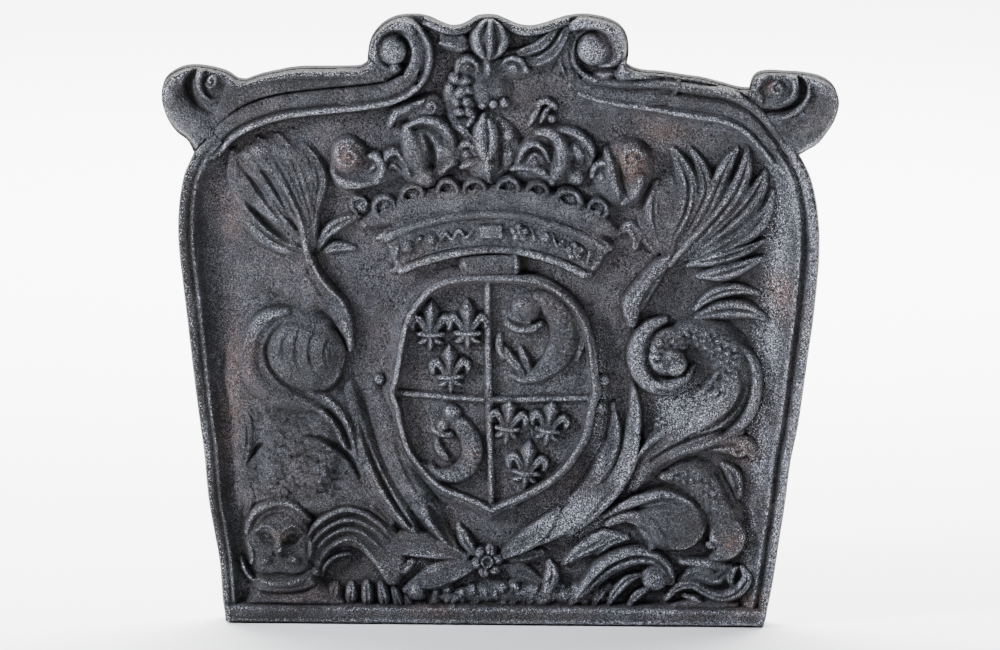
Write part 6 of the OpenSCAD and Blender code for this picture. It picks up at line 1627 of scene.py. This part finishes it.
# painted shadow and shade with some soot: dark spots, among them the shadow beside the clasp, along the left
# rail and over the lower left
shadow_and_soot_spots = blooms((523, 264, 5, 10, 0.9), (188, 250, 14, 120, 0.9), (196, 380, 16, 100, 0.9),
    (214, 520, 18, 110, 0.9), (240, 96, 60, 30, 0.6), (203, 230, 9, 80, 0.6), (206, 320, 9, 80, 0.6),
    (216, 420, 9, 80, 0.6), (226, 540, 9, 80, 0.6), (300, 550, 130, 64, 0.6), (300, 420, 100, 110, 0.46),
    (310, 82, 90, 24, 0.62), (700, 84, 80, 22, 0.5), (184, 100, 24, 50, 0.45), (280, 614, 120, 14, 0.72),
    (480, 612, 160, 14, 0.5), (640, 600, 60, 24, 0.25), (735, 480, 14, 60, 0.4), (250, 130, 60, 40, 0.2),
    (470, 150, 60, 40, 0.12), (194, 80, 10, 26, 0.4), (745, 520, 10, 40, 0.5), (540, 330, 40, 40, 0.15),
    (450, 345, 44, 50, 0.2))
# painted highlights, with some real wear: light spots on lit slopes and glinting ridges, such as the right
# rail's inner slope, the right body and the ribbons
worn = blooms((262, 148, 8, 5, 0.5), (300, 175, 6, 12, 0.4), (308, 236, 4, 14, 0.5), (775, 250, 15, 80, 1.0),
    (767, 340, 15, 80, 1.0), (758, 430, 13, 70, 0.95), (792, 190, 14, 44, 0.8), (748, 530, 9, 60, 0.8),
    (686, 402, 36, 30, 1.0), (575, 515, 44, 30, 0.85), (625, 470, 16, 40, 0.7), (700, 245, 30, 50, 0.4),
    (712, 200, 46, 36, 0.35), (598, 400, 8, 80, 0.9), (592, 51, 15, 15, 0.9), (394, 52, 13, 13, 0.9),
    (410, 560, 46, 10, 0.6), (645, 350, 20, 24, 0.5), (560, 590, 60, 14, 0.5), (489, 135, 24, 30, 0.6))
hollow = np.clip(0.8 * near_low + 0.45 * far_low + shadow_and_soot_spots, 0, 1)
# painted shade: the outline's edge is darkened, over a wider strip on the left
hollow = np.where(margin < 2.5 + 1.5 * (ACROSS < -100), np.maximum(hollow, 0.9), hollow)
proud = np.clip(0.6 * near_high + 0.5 * far_high + worn, 0, 1) * (1 - 0.6 * shadow_and_soot_spots)
rusty = blooms((348, 155, 16, 16, 0.9), (630, 160, 22, 24, 0.9), (662, 132, 34, 14, 0.6),
    (778, 290, 16, 26, 1.0), (743, 446, 24, 20, 0.8), (281, 532, 12, 9, 0.7), (234, 380, 14, 110, 0.6),
    (470, 450, 12, 14, 0.5), (430, 606, 40, 10, 0.6), (748, 600, 26, 14, 0.8), (234, 215, 18, 30, 0.6),
    (734, 537, 16, 14, 0.8), (765, 84, 8, 7, 0.8), (252, 352, 12, 34, 0.5), (520, 345, 30, 30, 0.25),
    (300, 590, 50, 16, 0.5), (560, 490, 40, 30, 0.3), (225, 430, 14, 60, 0.5))


def mark(piece):
    """Gives a piece's points how hollow, proud and rusty the casting is at their place: painted shade,
    painted highlight and rust.
    """
    mesh = piece.data
    co = np.empty(3 * len(mesh.vertices), np.float32)
    mesh.vertices.foreach_get("co", co)
    co = co.reshape(-1, 3)
    j = np.clip(((co[:, 0] * 1000 - gx[0]) / GRID).round().astype(int), 0, len(gx) - 1)
    i = np.clip(((co[:, 2] * 1000 - gz[0]) / GRID).round().astype(int), 0, len(gz) - 1)
    depth = co[:, 1] * 1000
    front = np.clip((-depth - 8.0) / 2.0, 0, 1)
    for label, field in (("hollow", hollow), ("proud", proud), ("rust", rusty)):
        layer = mesh.attributes.new(label, "FLOAT", "POINT")
        value = field[i, j] * front
        if label == "hollow":
            # painted shade: the outline's edge is darkened
            value = np.where(margin[i, j] < 3.0, 0.9, value)
            # darker in the pocks of the back
            value += np.clip((depth - 5) / 2, 0, 1) * np.clip((9.3 - depth) / 2.4, 0, 0.8)
        layer.data.foreach_set("value", value.astype(np.float32))


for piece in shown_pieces():
    if piece.type == "MESH" and piece.name.endswith("_cast"):
        mark(piece)

DOWN, TURNED = math.radians(10.0), math.radians(0.5)     # the camera looks down, a little turned
DISTANCE = 8.0
lens = bpy.data.cameras.new("Viewpoint")
lens.sensor_width, lens.lens = 36.0, 289.5
lens.clip_start, lens.clip_end = 0.5, 40.0
viewpoint = bpy.data.objects.new("Viewpoint", lens)
bpy.context.scene.collection.objects.link(viewpoint)
aim = Vector((0.0015, -0.020, 0.3050))
back = Vector((0.0, -math.cos(DOWN), math.sin(DOWN)))
turn = (-back).to_track_quat("-Z", "Y").to_matrix().to_4x4() @ Matrix.Rotation(TURNED, 4, "Z")
viewpoint.matrix_world = Matrix.Translation(aim + back * DISTANCE) @ turn
bpy.context.scene.camera = viewpoint


def lamp(name, spot, target, wide, high, power, tint=(1, 1, 1)):
    """A soft rectangular light of so many watts, turned to its target."""
    light = bpy.data.lights.new(name, "AREA")
    light.shape, light.size, light.size_y = "RECTANGLE", wide, high
    light.energy, light.color = power, tint
    holder = bpy.data.objects.new(name, light)
    bpy.context.scene.collection.objects.link(holder)
    holder.location = spot
    holder.rotation_mode = "QUATERNION"
    holder.rotation_quaternion = (Vector(target) - Vector(spot)).to_track_quat("-Z", "Y")


lamp("Window", (-2.45, -1.3, 1.4), (0, 0, 0.32), 0.6, 0.8, 232.0, (0.91, 0.94, 1.0))
lamp("Ceiling", (-0.3, -1.0, 2.6), (0, 0, 0.4), 1.4, 0.8, 10.0)
lamp("Far floor", (0.0, 2.6, 3.4), (0, 3.6, 0), 5.0, 4.0, 1950.0)
lamp("Back fill", (1.8, 2.4, 2.0), (0, 0, 0.3), 1.2, 0.8, 40.0)

FLOOR = 16.0         # metres from the middle to the floor's edge
ground = bpy.data.meshes.new("Studio floor")
corners = [(-FLOOR, -FLOOR, 0), (FLOOR, -FLOOR, 0), (FLOOR, FLOOR, 0), (-FLOOR, FLOOR, 0)]
ground.from_pydata(corners, [], [(0, 1, 2, 3)])
paper = bpy.data.materials.new("Pale paper")
paper.use_nodes = True
paper_shade = paper.node_tree.nodes["Principled BSDF"].inputs
paper_shade["Base Color"].default_value = (0.93, 0.93, 0.93, 1)
paper_shade["Roughness"].default_value = 0.9
ground.materials.append(paper)
floor = bpy.data.objects.new("Studio_floor", ground)
bpy.context.scene.collection.objects.link(floor)

air = bpy.data.worlds.new("Studio air")
air.use_nodes = True
glow = air.node_tree.nodes["Background"].inputs
glow["Color"].default_value = (0.9, 0.93, 1.0, 1)
glow["Strength"].default_value = 0.11
bpy.context.scene.world = air
